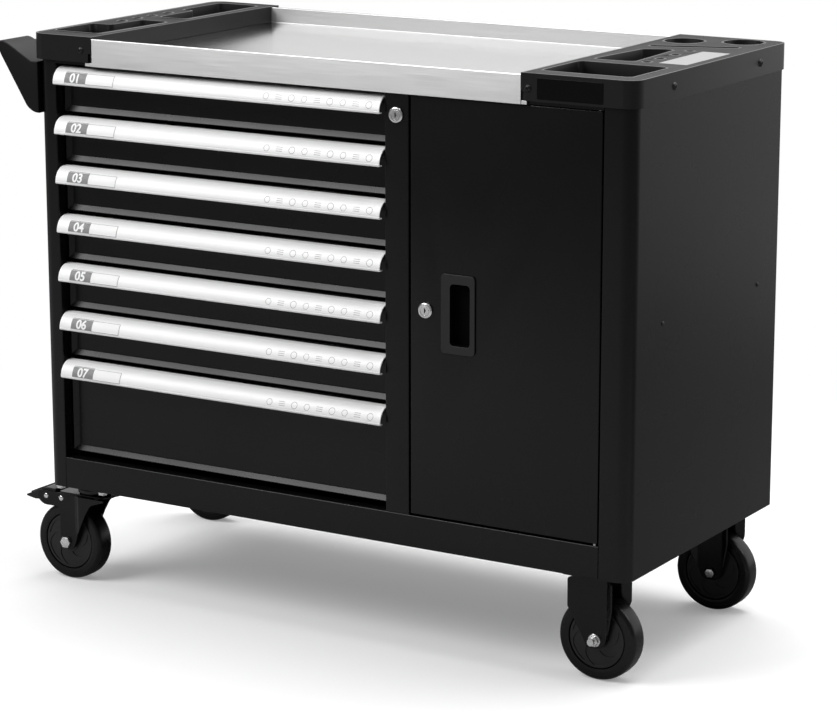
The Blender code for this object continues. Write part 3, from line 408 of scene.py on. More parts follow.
low, high = spot("bottom_front_rail")
path = [(post_return, high.z), (0, high.z), (0, low.z), (post_return, low.z)]
dress("bottom_rail", fold(path, "X", low.x, high.x, [bend, bend]), powder_coat, "cabinet",
      ["bottom_front_rail"], wall=sheet, edge=cut_edge)
low, high = spot("centre_post")
path = [(low.x, post_return), (low.x, 0), (high.x, 0), (high.x, post_return)]
dress("centre_post_channel", fold(path, "Z", low.z, high.z, [bend, bend]), powder_coat,
      "cabinet", ["centre_post"], wall=sheet, edge=cut_edge)


def refinish(material, *nodes):
    """Give solids whose shape is already right a scene material."""
    for node in nodes:
        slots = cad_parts[node].data.materials
        slots.clear()
        slots.append(material)


refinish(powder_coat, "back_panel", "base_pan", "top_panel", "divider_panel", "cupboard_shelf")

# Side plugs: black plastic plugs in the right side's slots, for bolting on a neighbour.
# Polythene is duller than the coat round it, so each plug shows as a small dark dot.
plug_radius = 3.6 * mm
plug_height = 1.6 * mm
plug_level = 525 * mm
plug_places = (98 * mm, 414 * mm)
plug_tooth, plug_tooth_depth = 1.5 * mm, 0.02 * mm
plug_black, tree, shader = new_finish("moulded_black_polythene_plug", "#050505", 0, 0.55)
fine_tooth(tree, shader, plug_tooth, plug_tooth_depth)


def turned(profile, place, axis="Y", steps=48, closed=False):
    """A profile of (radius, height) pairs spun about an axis; heights count to -Y, or to +X."""
    shape = bmesh.new()
    line = [shape.verts.new((radius, 0, height)) for radius, height in profile]
    pairs = list(zip(line, line[1:])) + ([(line[-1], line[0])] if closed else [])
    runs = [shape.edges.new(pair) for pair in pairs]
    bmesh.ops.spin(shape, geom=line + runs, cent=(0, 0, 0), axis=(0, 0, 1), angle=math.tau,
                   steps=steps, use_merge=True)
    bmesh.ops.remove_doubles(shape, verts=shape.verts, dist=weld)
    bmesh.ops.recalc_face_normals(shape, faces=shape.faces)
    if axis in "XY":
        swing(shape, math.pi / 2, "X" if axis == "Y" else "Y")
    shift(shape, place)
    return shape


def dome(radius, height, steps=5):
    """The profile of a domed head, from its foot's middle over the rim to its crown."""
    arc = [math.radians(90 * step / steps) for step in range(steps + 1)]
    return [(0, 0)] + [(radius * math.cos(a), height * math.sin(a)) for a in arc]


for number, y in enumerate(plug_places, 1):
    shape = turned(dome(plug_radius, plug_height), (cabinet_width + gap / 3, y, plug_level), "X",
                   24)
    dress(f"side_plug_{number}", shape, plug_black, "cabinet")


# Drawers: each has a pressed front, a shallow recess with a narrow border round it, on a folded
# tray that runs in the racks on two steel strips. Black powder coat.
drawer_count = 7
border = 1.8 * mm
recess_depth = 4.8 * mm
front_depth = 10.5 * mm
recess_side = 8 * mm
recess_bottom = 8.4 * mm
recess_top = 8 * mm
press_bend = 1.3 * mm
edge_on = 0.1
lip_bend = 1.75 * mm
tray_bend = 2 * mm
tray_inset = 11 * mm
tray_rise = 4 * mm
tray_fall = 8 * mm
strip_height = 15.4 * mm
strip_width = 6.4 * mm
strip_drop = 36 * mm
strip_corner = 2 * mm
# Bright zinc on rolled steel: a cloudy metal sheen, which tells runners and racks from the
# black trays. Its spangle is 5 to 10 mm across.
spangle_size, spangle_depth = 9 * mm, 0.01 * mm
zinc_steel, tree, shader = new_finish("bright_zinc_plated_steel", "#b9b9b9", 1, 0.32)
spangle = grain(tree, spangle_size)
shine(tree, shader, spangle.outputs["Fac"], 0.26, 0.42)
relief(tree, shader, spangle.outputs["Fac"], spangle_depth)


def soften(shape, edges, size, steps=4):
    """Round some edges of a mesh."""
    bmesh.ops.bevel(shape, geom=[edge for edge in edges if edge.is_valid], offset=size,
                    offset_type="OFFSET", affect="EDGES", segments=steps, profile=0.5,
                    material=-1, clamp_overlap=True)


def pressed_front(left, right, bottom, top, front):
    """A drawer front pressed from one sheet: border, sloping recess walls, panel, returns."""
    shape = bmesh.new()
    corners = [shape.verts.new((x, front, z)) for x, z in corners_of((left, bottom), (right, top))]
    face = shape.faces.new(corners)
    outer = list(face.edges)
    bmesh.ops.inset_individual(shape, faces=[face], thickness=border)
    lip = list(face.edges)
    bmesh.ops.inset_individual(shape, faces=[face], thickness=border)
    wall_foot = list(face.edges)
    for corner in face.verts:
        on_left = corner.co.x < (left + right) / 2
        on_bottom = corner.co.z < (bottom + top) / 2
        corner.co = (left + recess_side if on_left else right - recess_side,
                     front + recess_depth,
                     bottom + recess_bottom if on_bottom else top - recess_top)
    grown = bmesh.ops.extrude_edge_only(shape, edges=outer)["geom"]
    moved = [item for item in grown if isinstance(item, bmesh.types.BMVert)]
    bmesh.ops.translate(shape, vec=(0, front_depth, 0), verts=moved)
    bmesh.ops.recalc_face_normals(shape, faces=shape.faces)
    if face.normal.y > 0:
        bmesh.ops.reverse_faces(shape, faces=shape.faces)
    soften(shape, lip, lip_bend)
    soften(shape, wall_foot, press_bend)
    shape.normal_update()
    returns = [edge for edge in shape.edges if len(edge.link_faces) == 2
               and any(abs(item.normal.y) < edge_on for item in edge.link_faces)]
    soften(shape, returns, press_bend)
    return shape


def open_box(low, high, open_side, bends):
    """A folded box of sheet with one side left open; open_side is a direction."""
    shape = bmesh.new()
    bmesh.ops.create_cube(shape, size=1)
    low, high = Vector(low), Vector(high)
    bmesh.ops.scale(shape, vec=high - low, verts=shape.verts)
    shift(shape, (low + high) / 2)
    shape.normal_update()
    mouth = max(shape.faces, key=lambda face: face.normal.dot(Vector(open_side)))
    bmesh.ops.delete(shape, geom=[mouth], context="FACES_ONLY")
    soften(shape, [edge for edge in shape.edges if len(edge.link_faces) == 2], bends)
    return shape


for number in range(1, drawer_count + 1):
    low, high = spot(f"drawer_{number}")
    body = f"drawer_{number}_body"
    shape = pressed_front(low.x, high.x, low.z, high.z, low.y)
    dress(f"drawer_front_{number}", shape, powder_coat, body,
          [f"drawer_{number}"], wall=sheet, edge=cut_edge, angle=35)
    shape = open_box((low.x + tray_inset, low.y + recess_depth + sheet, low.z + tray_rise),
                     (high.x - tray_inset, high.y, high.z - tray_fall), (0, 0, 1), tray_bend)
    dress(f"drawer_tray_{number}", shape, powder_coat, body, wall=sheet,
          edge=cut_edge)
    middle = high.z - strip_drop
    for side, wall, away in (("left", low.x + tray_inset, -1), ("right", high.x - tray_inset, 1)):
        start, end = sorted((wall, wall + away * strip_width))
        shape = plate(corners_of((start, middle - strip_height / 2),
                                 (end, middle + strip_height / 2)), "Y",
                      low.y + front_depth + sheet, high.y, [strip_corner] * 4)
        dress(f"drawer_runner_{number}_{side}", shape, zinc_steel, body,
              edge=cut_edge)

# Slide racks and the lock bar: zinc-plated pressings, bolted to the side and to the divider.
refinish(zinc_steel, "left_slide_rack", "right_slide_rack", "lock_bar", "hinge_pin_top",
         "hinge_pin_bottom")


# Pulls: satin anodised aluminium sections over each drawer's top edge. They bulge forward over
# a narrow lip. At the left sits a holder with the drawer's number and a card window.
pull_height = 26 * mm
pull_fall = 24.4 * mm
pull_sheet = 1.6 * mm
pull_setback = 12 * mm
pull_lip = 8 * mm
pull_steps = 28
# Satin anodising: nearly white, with a soft highlight drawn out along the pull. Its drawing
# lines are about 0.1 mm apart; drawn at 0.7 mm and 60 mm long.
line_size, line_depth = 0.7 * mm, 0.01 * mm
line_stretch = (85, 1, 1)
satin, tree, shader = new_finish("satin_anodised_aluminium", "#fcfcfc", 0.04, 0.46)
drawn = grain(tree, line_size, line_stretch)
shine(tree, shader, drawn.outputs["Fac"], 0.42, 0.5)
relief(tree, shader, drawn.outputs["Fac"], line_depth)
# Printed card: a flat, slightly mottled grey field behind the number.
ink_size = 5 * mm
label_grey, tree, shader = new_finish("printed_grey_label_card", "#868686", 0, 0.5)
mottle = add_node(tree, "ShaderNodeMix", {"data_type": "RGBA"},
                  {0: grain(tree, ink_size).outputs["Fac"], 6: linear("#767676"),
                   7: linear("#969696")})
tree.links.new(mottle.outputs[2], shader.inputs["Base Color"])
# Paper and paint have a tooth of about 1 mm here. The slot's shade is painted as one thin dark
# line over the card; the marks are matt, and their grey, only a little greyer than the pull, is
# painted shade of their embossing; the white card and numerals are the flattest and brightest
# spots on the front.
paper_tooth, paper_depth = 1 * mm, 0.02 * mm
painted_slot_shade, tree, shader = new_finish("painted_shade_of_label_slot", "#4a4a4a", 0, 0.6)
fine_tooth(tree, shader, paper_tooth, paper_depth)
mark_painted_shade_grey, tree, shader = new_finish("satin_aluminium_painted_emboss_shade", "#a0a0a0", 0, 0.6)
fine_tooth(tree, shader, paper_tooth, paper_depth)
label_white, tree, shader = new_finish("printed_white_label_card", "#fcfcfc", 0, 0.5)
fine_tooth(tree, shader, paper_tooth, paper_depth)


def pull_curve(top, bulge):
    """The pull's outer face in section, as (y, z) points from the top edge to the lip."""
    turns = [math.radians(90 * step / pull_steps) for step in range(pull_steps + 1)]
    reach = pull_setback - bulge
    return [Vector((pull_setback - reach * math.sin(a), top - pull_fall * (1 - math.cos(a))))
            for a in turns]


def grooved(points):
    """The pull's section with fine grooves cut along it."""
    stations = []
    gone = 0
    for one, two in zip(points, points[1:]):
        if all(abs(gone - groove) > 2 * groove_half for groove in pull_grooves):
            stations.append((gone, 0))
        gone += (two - one).length
    for groove in pull_grooves:
        stations += [(groove - groove_half, 0), (groove, groove_depth), (groove + groove_half, 0)]
    placed = [(along_curve(points, at), depth) for at, depth in sorted(stations)]
    return [place - outward * depth for (place, outward), depth in placed] + [points[-1]]


def along_curve(points, distance):
    """The place and the outward normal at a distance along a section."""
    for one, two in zip(points, points[1:]):
        run = two - one
        if distance <= run.length or two is points[-1]:
            return one + run.normalized() * distance, Vector((run.y, -run.x)).normalized()
        distance -= run.length


def wrap(shape, points, left, lift=0):
    """Lay a thin mesh, drawn in x and in distance down the face, onto the pull's curve."""
    lowest = min(point.co.y for point in shape.verts)
    station = wrap_step
    while station < -lowest:
        bmesh.ops.bisect_plane(shape, geom=shape.verts[:] + shape.edges[:] + shape.faces[:],
                               plane_co=(0, -station, 0), plane_no=(0, 1, 0), dist=snap)
        station += wrap_step
    for point in shape.verts:
        place, outward = along_curve(points, -point.co.y)
        at = place + outward * (point.co.z + lift)
        point.co = (left + point.co.x, at.x, at.y)
    bmesh.ops.recalc_face_normals(shape, faces=shape.faces)
    return shape


def digits(text, height, thick):
    """Numerals as a thin mesh, standing on the origin and centred on it."""
    letters = bpy.data.curves.new("numerals", "FONT")
    letters.body = text
    letters.size = height / numeral_height_share
    letters.extrude = thick / 2
    letters.align_x = "CENTER"
    letters.offset = height * numeral_weight_share
    holder = bpy.data.objects.new("numerals", letters)
    scene.collection.objects.link(holder)
    ready = holder.evaluated_get(bpy.context.evaluated_depsgraph_get())
    mesh = bpy.data.meshes.new_from_object(ready)
    bpy.data.objects.remove(holder)
    shape = bmesh.new()
    shape.from_mesh(mesh)
    bmesh.ops.remove_doubles(shape, verts=shape.verts, dist=weld)
    return shape


def add_to(shape, extra):
    """Put a second mesh into a shape; the second is used up."""
    mesh = bpy.data.meshes.new("addition")
    extra.to_mesh(mesh)
    extra.free()
    shape.from_mesh(mesh)


wrap_step = 1.5 * mm
pull_grooves = (7.6 * mm, 34.7 * mm)
groove_half = 0.45 * mm
groove_depth = 0.35 * mm
window_shade_line = 0.55 * mm
slot_drop = 16.4 * mm
slot_height = 0.7 * mm
holder_left, holder_right = 21.5 * mm, 114.5 * mm
holder_top, holder_foot = 17.3 * mm, 35.3 * mm
card_split = 62 * mm
holder_thick = 0.5 * mm
holder_sink = 0.1 * mm
holder_corner = 1.2 * mm
holder_edge = 0.2 * mm
holder_rim = 0.9 * mm
card_thick = 0.15 * mm
number_height = 13.4 * mm
number_foot = 32.9 * mm
number_thick = 0.2 * mm
number_lift = 0.05 * mm
numeral_height_share = 0.69
numeral_weight_share = 0.045
# Raised marks, in a grey that paints the shade of their embossing: a hexagon, three short bars
# and a ring, in turn; a mark without sides is bars.
mark_left, mark_right = 392 * mm, 570 * mm
mark_middle = 27 * mm
mark_count = 9
mark_size = 11 * mm
mark_rise = 0.08 * mm
mark_line = 0.7 * mm
mark_sides = (6, 0, 24)
bar_spacing_share = 0.55
soft_angle = 50
for number in range(1, drawer_count + 1):
    low, high = spot(f"drawer_pull_{number}")
    body = f"drawer_{number}_body"
    points = pull_curve(high.z, low.y)
    line = [(high.y, high.z)] + [tuple(point) for point in grooved(points)]
    line += [(low.y + pull_sheet, high.z - pull_height), (low.y + pull_lip, high.z - pull_height)]
    dress(f"pull_{number}", fold(line, "X", low.x, high.x, [0] * (len(line) - 2)), satin, body,
          [f"drawer_pull_{number}"], wall=pull_sheet, edge=cut_edge,
          angle=soft_angle)
    shape = plate(corners_of((holder_left, -holder_foot), (holder_right, -holder_top)), "Z",
                  -holder_sink, holder_thick, [holder_corner] * 4)
    dress(f"label_holder_{number}", wrap(shape, points, low.x), satin, body,
          edge=holder_edge, angle=soft_angle)
    # The frame is a thin grey border showing round the window card: painted shade along the
    # window's edge.
    cards = (("frame", card_split, holder_right - holder_rim + window_shade_line, label_grey,
              card_thick / 2, window_shade_line),
             ("number", holder_left + holder_rim, card_split, label_grey, card_thick, 0),
             ("window", card_split + window_shade_line, holder_right - holder_rim, label_white,
              card_thick, 0))
    for part, start, end, card, thick, spread in cards:
        shape = plate(corners_of((start, -holder_foot + holder_rim - spread),
                                 (end, -holder_top - holder_rim + spread)), "Z",
                      holder_thick, holder_thick + thick)
        dress(f"label_{part}_{number}", wrap(shape, points, low.x), card, body)
    # A thin dark strip over the card's top edge: painted shade, where the slot shades the card.
    shape = plate(corners_of((holder_left + 2 * holder_rim, -slot_drop - slot_height),
                             (card_split, -slot_drop)), "Z", 0, card_thick)
    dress(f"label_slot_shade_{number}", wrap(shape, points, low.x), painted_slot_shade, body)
    shape = digits(f"0{number}", number_height, number_thick)
    shift(shape, ((holder_left + card_split) / 2, -number_foot, 0))
    dress(f"label_numerals_{number}",
          wrap(shape, points, low.x, holder_thick + card_thick + number_lift), label_white, body)
    for mark in range(mark_count):
        at = mark_left + (mark_right - mark_left) * mark / (mark_count - 1)
        half = mark_size / 2
        inner = half - mark_line
        sides = mark_sides[mark % len(mark_sides)]
        if sides:
            ring = [(half, 0), (half, mark_rise), (inner, mark_rise), (inner, 0)]
            shape = turned(ring, (at, -mark_middle, 0), "Z", sides, closed=True)
        else:
            shape = bmesh.new()
            for row in (-1, 0, 1):
                middle = -mark_middle + row * half * bar_spacing_share
                add_to(shape, plate(corners_of((at - half, middle - mark_line / 2),
                                               (at + half, middle + mark_line / 2)), "Z", 0,
                                    mark_rise))
        dress(f"etched_mark_{number}_{mark + 1}", wrap(shape, points, low.x), mark_painted_shade_grey, body,
              angle=soft_angle)


# Locks: turned zinc die castings, chromed, with a key slot in a loose plug. Each barrel runs
# back through the sheet and carries a zinc-plated cam at its rear end.
# Chrome: small bright heads whose mirror is smeared by fingers, about 6 mm a print.
smear_size = 6 * mm
chrome, tree, shader = new_finish("chromed_zinc_die_casting", "#e4e4e4", 1, 0.22)
shine(tree, shader, grain(tree, smear_size).outputs["Fac"], 0.18, 0.3)
# The key slot's faces are painted near-black as its shade, so that it reads as a dark line.
wear_size, wear_depth = 2 * mm, 0.05 * mm
keyway_painted_shade, tree, shader = new_finish("painted_shade_in_keyway", "#0a0a0a", 1, 0.5)
fine_tooth(tree, shader, wear_size, wear_depth)
head_radius = 11.5 * mm
head_height = 4.5 * mm
head_flat = 2.2 * mm
head_rim = 0.8 * mm
head_rim_drop = 0.5 * mm
head_side = 1.6 * mm
plug_edge = 6.6 * mm
plug_drop = 0.5 * mm
plug_groove = 0.7 * mm
collar_rise = 0.1 * mm
barrel_radius = 8 * mm
cam_thick = 2 * mm
cam_half = 6 * mm
cam_corner = 5 * mm
key_length = 7 * mm
key_width = 1.7 * mm
notch_share = 1.3
notch_floor = 0.2 * mm
slot_margin = 0.1 * mm
lock_edge = 0.25 * mm
overrun = 1 * mm


def carved(shape, *tools, wall=0):
    """A shape with tools cut out of it; all are used up, and a new shape comes back."""
    held = []
    for each in (shape, *tools):
        mesh = bpy.data.meshes.new("carving")
        each.to_mesh(mesh)
        each.free()
        item = bpy.data.objects.new("carving", mesh)
        scene.collection.objects.link(item)
        held.append(item)
    if wall:
        thickness = held[0].modifiers.new("wall", "SOLIDIFY")
        thickness.thickness = wall
        thickness.offset = -1
        thickness.use_even_offset = True
    for tool in held[1:]:
        cut = held[0].modifiers.new("cut", "BOOLEAN")
        cut.operation = "DIFFERENCE"
        cut.solver = "EXACT"
        cut.object = tool
    ready = held[0].evaluated_get(bpy.context.evaluated_depsgraph_get())
    mesh = bpy.data.meshes.new_from_object(ready)
    for item in held:
        bpy.data.objects.remove(item)
    result = bmesh.new()
    result.from_mesh(mesh)
    return result


for node, body in (("door_lock", "door_lock_body"), ("drawer_lock", "drawer_lock_body")):
    low, high = spot(node)
    x, z = (low.x + high.x) / 2, high.z - head_radius
    face = head_height - plug_drop
    profile = [(0, face), (plug_edge, face), (plug_edge, face - plug_groove),
               (plug_edge + plug_groove, face - plug_groove),
               (plug_edge + plug_groove, face + collar_rise),
               (head_radius - head_flat, head_height),
               (head_radius - head_rim, head_height - head_rim_drop),
               (head_radius, head_height - head_side), (head_radius, gap), (barrel_radius, gap),
               (barrel_radius, -high.y), (0, -high.y)]
    slot_block = plate(corners_of((x - key_width / 2, z - key_length / 2),
                                  (x + key_width / 2, z + key_length / 2)), "Y",
                       -head_height - overrun, 0)
    side_block = plate(corners_of((x - key_width / 2, z - key_width / 2),
                                  (x + key_width * notch_share, z + key_width / 2)), "Y",
                       -head_height - overrun, -notch_floor)
    shape = carved(turned(profile, (x, 0, z)), slot_block, side_block)
    # Faces inside the key slot take the painted shade.
    for item in shape.faces:
        middle = item.calc_center_median()
        if middle.y > -face + notch_floor and abs(middle.x - x) < 2 * key_width:
            if abs(middle.z - z) <= key_length / 2 + slot_margin and middle.y < slot_margin:
                item.material_index = 1
    dress(f"{node}_cylinder", shape, [chrome, keyway_painted_shade], body, [node],
          edge=lock_edge, angle=35)
    shape = plate(corners_of((x - cam_half, low.z), (x + cam_half, z + cam_half)), "Y",
                  high.y - cam_thick, high.y, [cam_corner] * 4)
    dress(f"{node}_cam", shape, zinc_steel, body, edge=cut_edge)


# Door: a folded skin with a spot-welded inner pan, hung on two pins at its right. The pull is a
# moulded cup, snapped into the skin.
door_bend = 1.8 * mm
low, high = spot("door_skin")
cup_low, cup_high = spot("door_recess_cup")
cup_flange = 3 * mm
cup_edge = 1.2 * mm
opening_reach = 5 * mm
opening_corner = 3 * mm
opening = plate(corners_of((cup_low.x + cup_flange, cup_low.z + cup_flange),
                           (cup_high.x - cup_flange, cup_high.z - cup_flange)), "Y",
                -opening_reach, opening_reach, [opening_corner] * 4)
shape = carved(open_box(low, high, (0, 1, 0), door_bend), opening, wall=sheet)
dress("door_front_skin", shape, powder_coat, "door", ["door_skin"], angle=35)
low, high = spot("door_inner_pan")
dress("door_back_pan", open_box(low, high, (0, -1, 0), door_bend), powder_coat, "door",
      ["door_inner_pan"], wall=sheet, edge=cut_edge)

# Moulded ABS: satin, a little lighter than the coated door, so that the flange stands out.
cup_tooth, cup_tooth_depth = 2 * mm, 0.02 * mm
cup_black, tree, shader = new_finish("moulded_black_abs_pull_cup", "#161616", 0, 0.38)
fine_tooth(tree, shader, cup_tooth, cup_tooth_depth)
# The pocket behind the flange is spark-eroded in the mould and matt; its colour is set darker
# than the cup's as painted shade, so that it stays dark.
pocket_tooth, pocket_tooth_depth = 1.5 * mm, 0.06 * mm
pocket_painted_shade, tree, shader = new_finish("matt_black_abs_painted_pocket_shade", "#030303", 0, 0.85)
shader.inputs["IOR"].default_value = 1.15
fine_tooth(tree, shader, pocket_tooth, pocket_tooth_depth)
flat_angle = math.radians(0.5)


def merged_copy(node):
    """A solid's own mesh with its loose triangles merged, in the cabinet's frame."""
    shape = bmesh.new()
    shape.from_mesh(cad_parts[node].data)
    bmesh.ops.remove_doubles(shape, verts=shape.verts, dist=snap)
    bmesh.ops.dissolve_limit(shape, angle_limit=flat_angle, verts=shape.verts, edges=shape.edges)
    shift(shape, -home)
    shape.normal_update()
    return shape


shape = merged_copy("door_recess_cup")
# Faces behind the flange take the pocket's painted shade.
for face in shape.faces:
    if face.calc_center_median().y > cup_low.y + cup_flange:
        face.material_index = 1
dress("door_pull_cup", shape, [cup_black, pocket_painted_shade], "door",
      ["door_recess_cup"], edge=cup_edge, edge_steps=4, angle=40)


# Worktop: one brushed stainless sheet. It hems over at the front, runs down as the fascia,
# back as the tray's floor and up as the rear edge; a chipboard core fills it out.
# Number 4 brushed: real scratches are about 0.1 mm wide; drawn at 0.8 mm and 90 mm long.
scratch_size = 0.8 * mm
scratch_stretch = (110, 1, 1)


def brushed(name, colour, roughness, spread, depth):
    """A stainless finish brushed along the cart; also gives its tree, shader and scratches."""
    made, tree, shader = new_finish(name, colour, 1, roughness)
    scratches = grain(tree, scratch_size, scratch_stretch, detail=3).outputs["Fac"]
    shine(tree, shader, scratches, roughness - spread, roughness + spread)
    relief(tree, shader, scratches, depth)
    return made, tree, shader, scratches


# The fascia's face is brushed and streaked; its colour is lighter than the tray floor's copy, the
# floor's being painted shade. The rolled grain runs along the cart, so highlights stretch across
# it.
steel, tree, shader, scratches = brushed("brushed_stainless_steel", "#d6d6d6", roughness=0.36,
                                         spread=0.04, depth=0.05 * mm)
shade = add_node(tree, "ShaderNodeMix", {"data_type": "RGBA"},
                 {0: scratches, 6: linear("#cecece"), 7: linear("#dedede")})
tree.links.new(shade.outputs[2], shader.inputs["Base Color"])
rolled = add_node(tree, "ShaderNodeTangent", {"direction_type": "UV_MAP",
                                              "uv_map": "rolling_direction"})
tree.links.new(rolled.outputs[0], shader.inputs["Tangent"])
shader.inputs["Anisotropic"].default_value = 0.78
# The tray's floor is the same sheet in a copy for the up-facing faces: its colour is set darker
# than the fascia's as painted shade, and its lower roughness lets it mirror its walls.
tray_floor_painted_shade_steel = brushed("stainless_steel_tray_floor_painted_shade", "#bababa", roughness=0.15, spread=0.03,
                       depth=0.004 * mm)[0]
# The rear edge keeps more of its brushing.
edge_steel = brushed("half_bright_stainless_steel", "#d4d4d4", roughness=0.5, spread=0.04,
                     depth=0.01 * mm)[0]


def rolled_along(shape):
    """Give a mesh the map that carries the steel's grain along the cart."""
    rolling = shape.loops.layers.uv.new("rolling_direction")
    for face in shape.faces:
        for loop in face.loops:
            loop[rolling].uv = (loop.vert.co.y + loop.vert.co.z, loop.vert.co.x)
    return shape


low, high = spot("steel_worktop")
floor_z = 857 * mm
fascia_rise = 23.4 * mm
fascia_front = low.y
fascia_low = low.z
fascia_high = floor_z + fascia_rise
fascia_left = 109.3 * mm
fascia_right = 854.7 * mm
hem = 3 * mm
hem_bend = 1.4 * mm
streaked_depth = 0.5 * mm
upstand_front = 470 * mm
upstand_return = 10 * mm
steel_sheet = 0.9 * mm
strip_tuck = 5.2 * mm
strip_left, strip_right = 96 * mm, 864 * mm
strip_front, strip_back = 1 * mm, 2.9 * mm
level_share = 0.7
path = [(high.y, floor_z - upstand_return), (high.y, high.z), (upstand_front, high.z),
        (upstand_front, floor_z), (fascia_front + hem, floor_z),
        (fascia_front + hem, fascia_high), (fascia_front, fascia_high),
        (fascia_front, fascia_low)]
shape = fold(path, "X", fascia_left, fascia_right,
             [hem_bend, hem_bend, bend, bend, hem_bend, hem_bend])
shape.normal_update()
# Up-facing faces behind the fascia take the tray floor's painted-shade copy; the others take the
# rear edge's.
for face in shape.faces:
    if face.calc_center_median().y > fascia_front + streaked_depth:
        face.material_index = 1 if abs(face.normal.z) > level_share else 2
dress("worktop_sheet", rolled_along(shape), [steel, tray_floor_painted_shade_steel, edge_steel], "cabinet",
      ["steel_worktop"], wall=steel_sheet, edge=cut_edge)
shape = plate(corners_of((strip_left, fascia_low), (strip_right, fascia_low + strip_tuck)), "Y",
              fascia_front + strip_front, fascia_front + strip_back)
dress("worktop_strip", rolled_along(shape), steel, "cabinet", edge=cut_edge)

# Particle board, painted near-black as the shade where its end shows in the cap's gap; dull and
# rough where its chips show, so that only the steel shines.
chip_size, chip_depth = 4 * mm, 0.2 * mm
chip_stretch = (2, 2, 0.5)
board_painted_gap_shade, tree, shader = new_finish("particle_board_painted_gap_shade", "#14120f", 0, 0.7)
relief(tree, shader, grain(tree, chip_size, chip_stretch).outputs["Fac"], chip_depth)
refinish(board_painted_gap_shade, "worktop_board")


# End caps: moulded black ABS with a pebbled top field inside a smooth raised rim, tool pockets
# and holes. Each is screwed to the cabinet through its skirt.
rim_width = 3.0 * mm
field_drop = 0.8 * mm
cap_edge = 1.0 * mm
level_within = 1 * mm
facing = 0.99
# Smooth ABS: satin, with soft highlights along the rims and rounded corners.
abs_tooth, abs_tooth_depth = 2.5 * mm, 0.03 * mm
abs_smooth, tree, shader = new_finish("moulded_black_abs", "#121212", 0, 0.34)
shader.inputs["IOR"].default_value = 1.4
fine_tooth(tree, shader, abs_tooth, abs_tooth_depth)
# Pebbled ABS: the top fields scatter the light, and their colour is set darker than the rims' as
# painted shade, so that they stay darker than their rims.
abs_pebbled_shaded, tree, shader = new_finish("pebble_grained_black_abs_painted_shade", "#090909", 0, 0.55)
shader.inputs["IOR"].default_value = 1.25
# Pebble grain: real pebbles are about 1 mm across; drawn at 2 mm.
pebble_size, pebble_depth = 2 * mm, 0.25 * mm
where = add_node(tree, "ShaderNodeTexCoord")
pebbles = add_node(tree, "ShaderNodeTexVoronoi", {"feature": "SMOOTH_F1"},
                   {"Vector": where.outputs["Object"], "Scale": 1 / pebble_size})
relief(tree, shader, pebbles.outputs["Distance"], -pebble_depth)

for node in ("left_end_cap", "right_end_cap"):
    shape = merged_copy(node)
    cap_low, cap_high = spot(node)
    top = [face for face in shape.faces
           if face.normal.z > facing
           and face.calc_center_median().z > cap_high.z - level_within]
    bmesh.ops.inset_region(shape, faces=top, thickness=rim_width, depth=0,
                           use_even_offset=True, use_boundary=True)
    bmesh.ops.inset_region(shape, faces=top, thickness=field_drop, depth=-field_drop,
                           use_even_offset=True, use_boundary=True)
    # The top fields take the pebbled copy with its painted shade.
    for face in top:
        face.material_index = 1
    dress(f"{node}_moulding", shape, [abs_smooth, abs_pebbled_shaded], "cabinet", [node],
          edge=cap_edge, edge_steps=3, angle=40)

# A pale label strip is let into the right cap's field, and a bare plate into its front. The
# strip is a matt vinyl film, the one pale patch on the cap; the plate is glossy, and so mirrors
# the dark room.
film_corner = 1 * mm
vinyl_low, vinyl_high = (974 * mm, 181 * mm), (1019 * mm, 325 * mm)
vinyl_foot, vinyl_top = 1.5 * mm, 0.4 * mm
vinyl_edge = 0.2 * mm
vinyl_tooth, vinyl_tooth_depth = 3 * mm, 0.02 * mm
strip_pale, tree, shader = new_finish("matt_grey_vinyl_strip", "#7e7e7e", 0, 0.45)
fine_tooth(tree, shader, vinyl_tooth, vinyl_tooth_depth)
shape = plate(corners_of(vinyl_low, vinyl_high), "Z", cap_high.z - vinyl_foot,
              cap_high.z - vinyl_top, [film_corner] * 4)
dress("cap_label_strip", shape, strip_pale, "cabinet", edge=vinyl_edge)
badge_low, badge_high = (881 * mm, 847 * mm), (985 * mm, 877 * mm)
badge_half = 0.5 * mm
badge_edge = 0.3 * mm
lacquer_flow, lacquer_depth = 4 * mm, 0.01 * mm
plate_black, tree, shader = new_finish("gloss_black_lacquered_plate", "#040404", 0, 0.22)
shader.inputs["IOR"].default_value = 1.28
fine_tooth(tree, shader, lacquer_flow, lacquer_depth)
shape = plate(corners_of(badge_low, badge_high), "Y", cap_low.y - badge_half,
              cap_low.y + badge_half, [film_corner] * 4)
dress("cap_front_plate", shape, plate_black, "cabinet", edge=badge_edge)

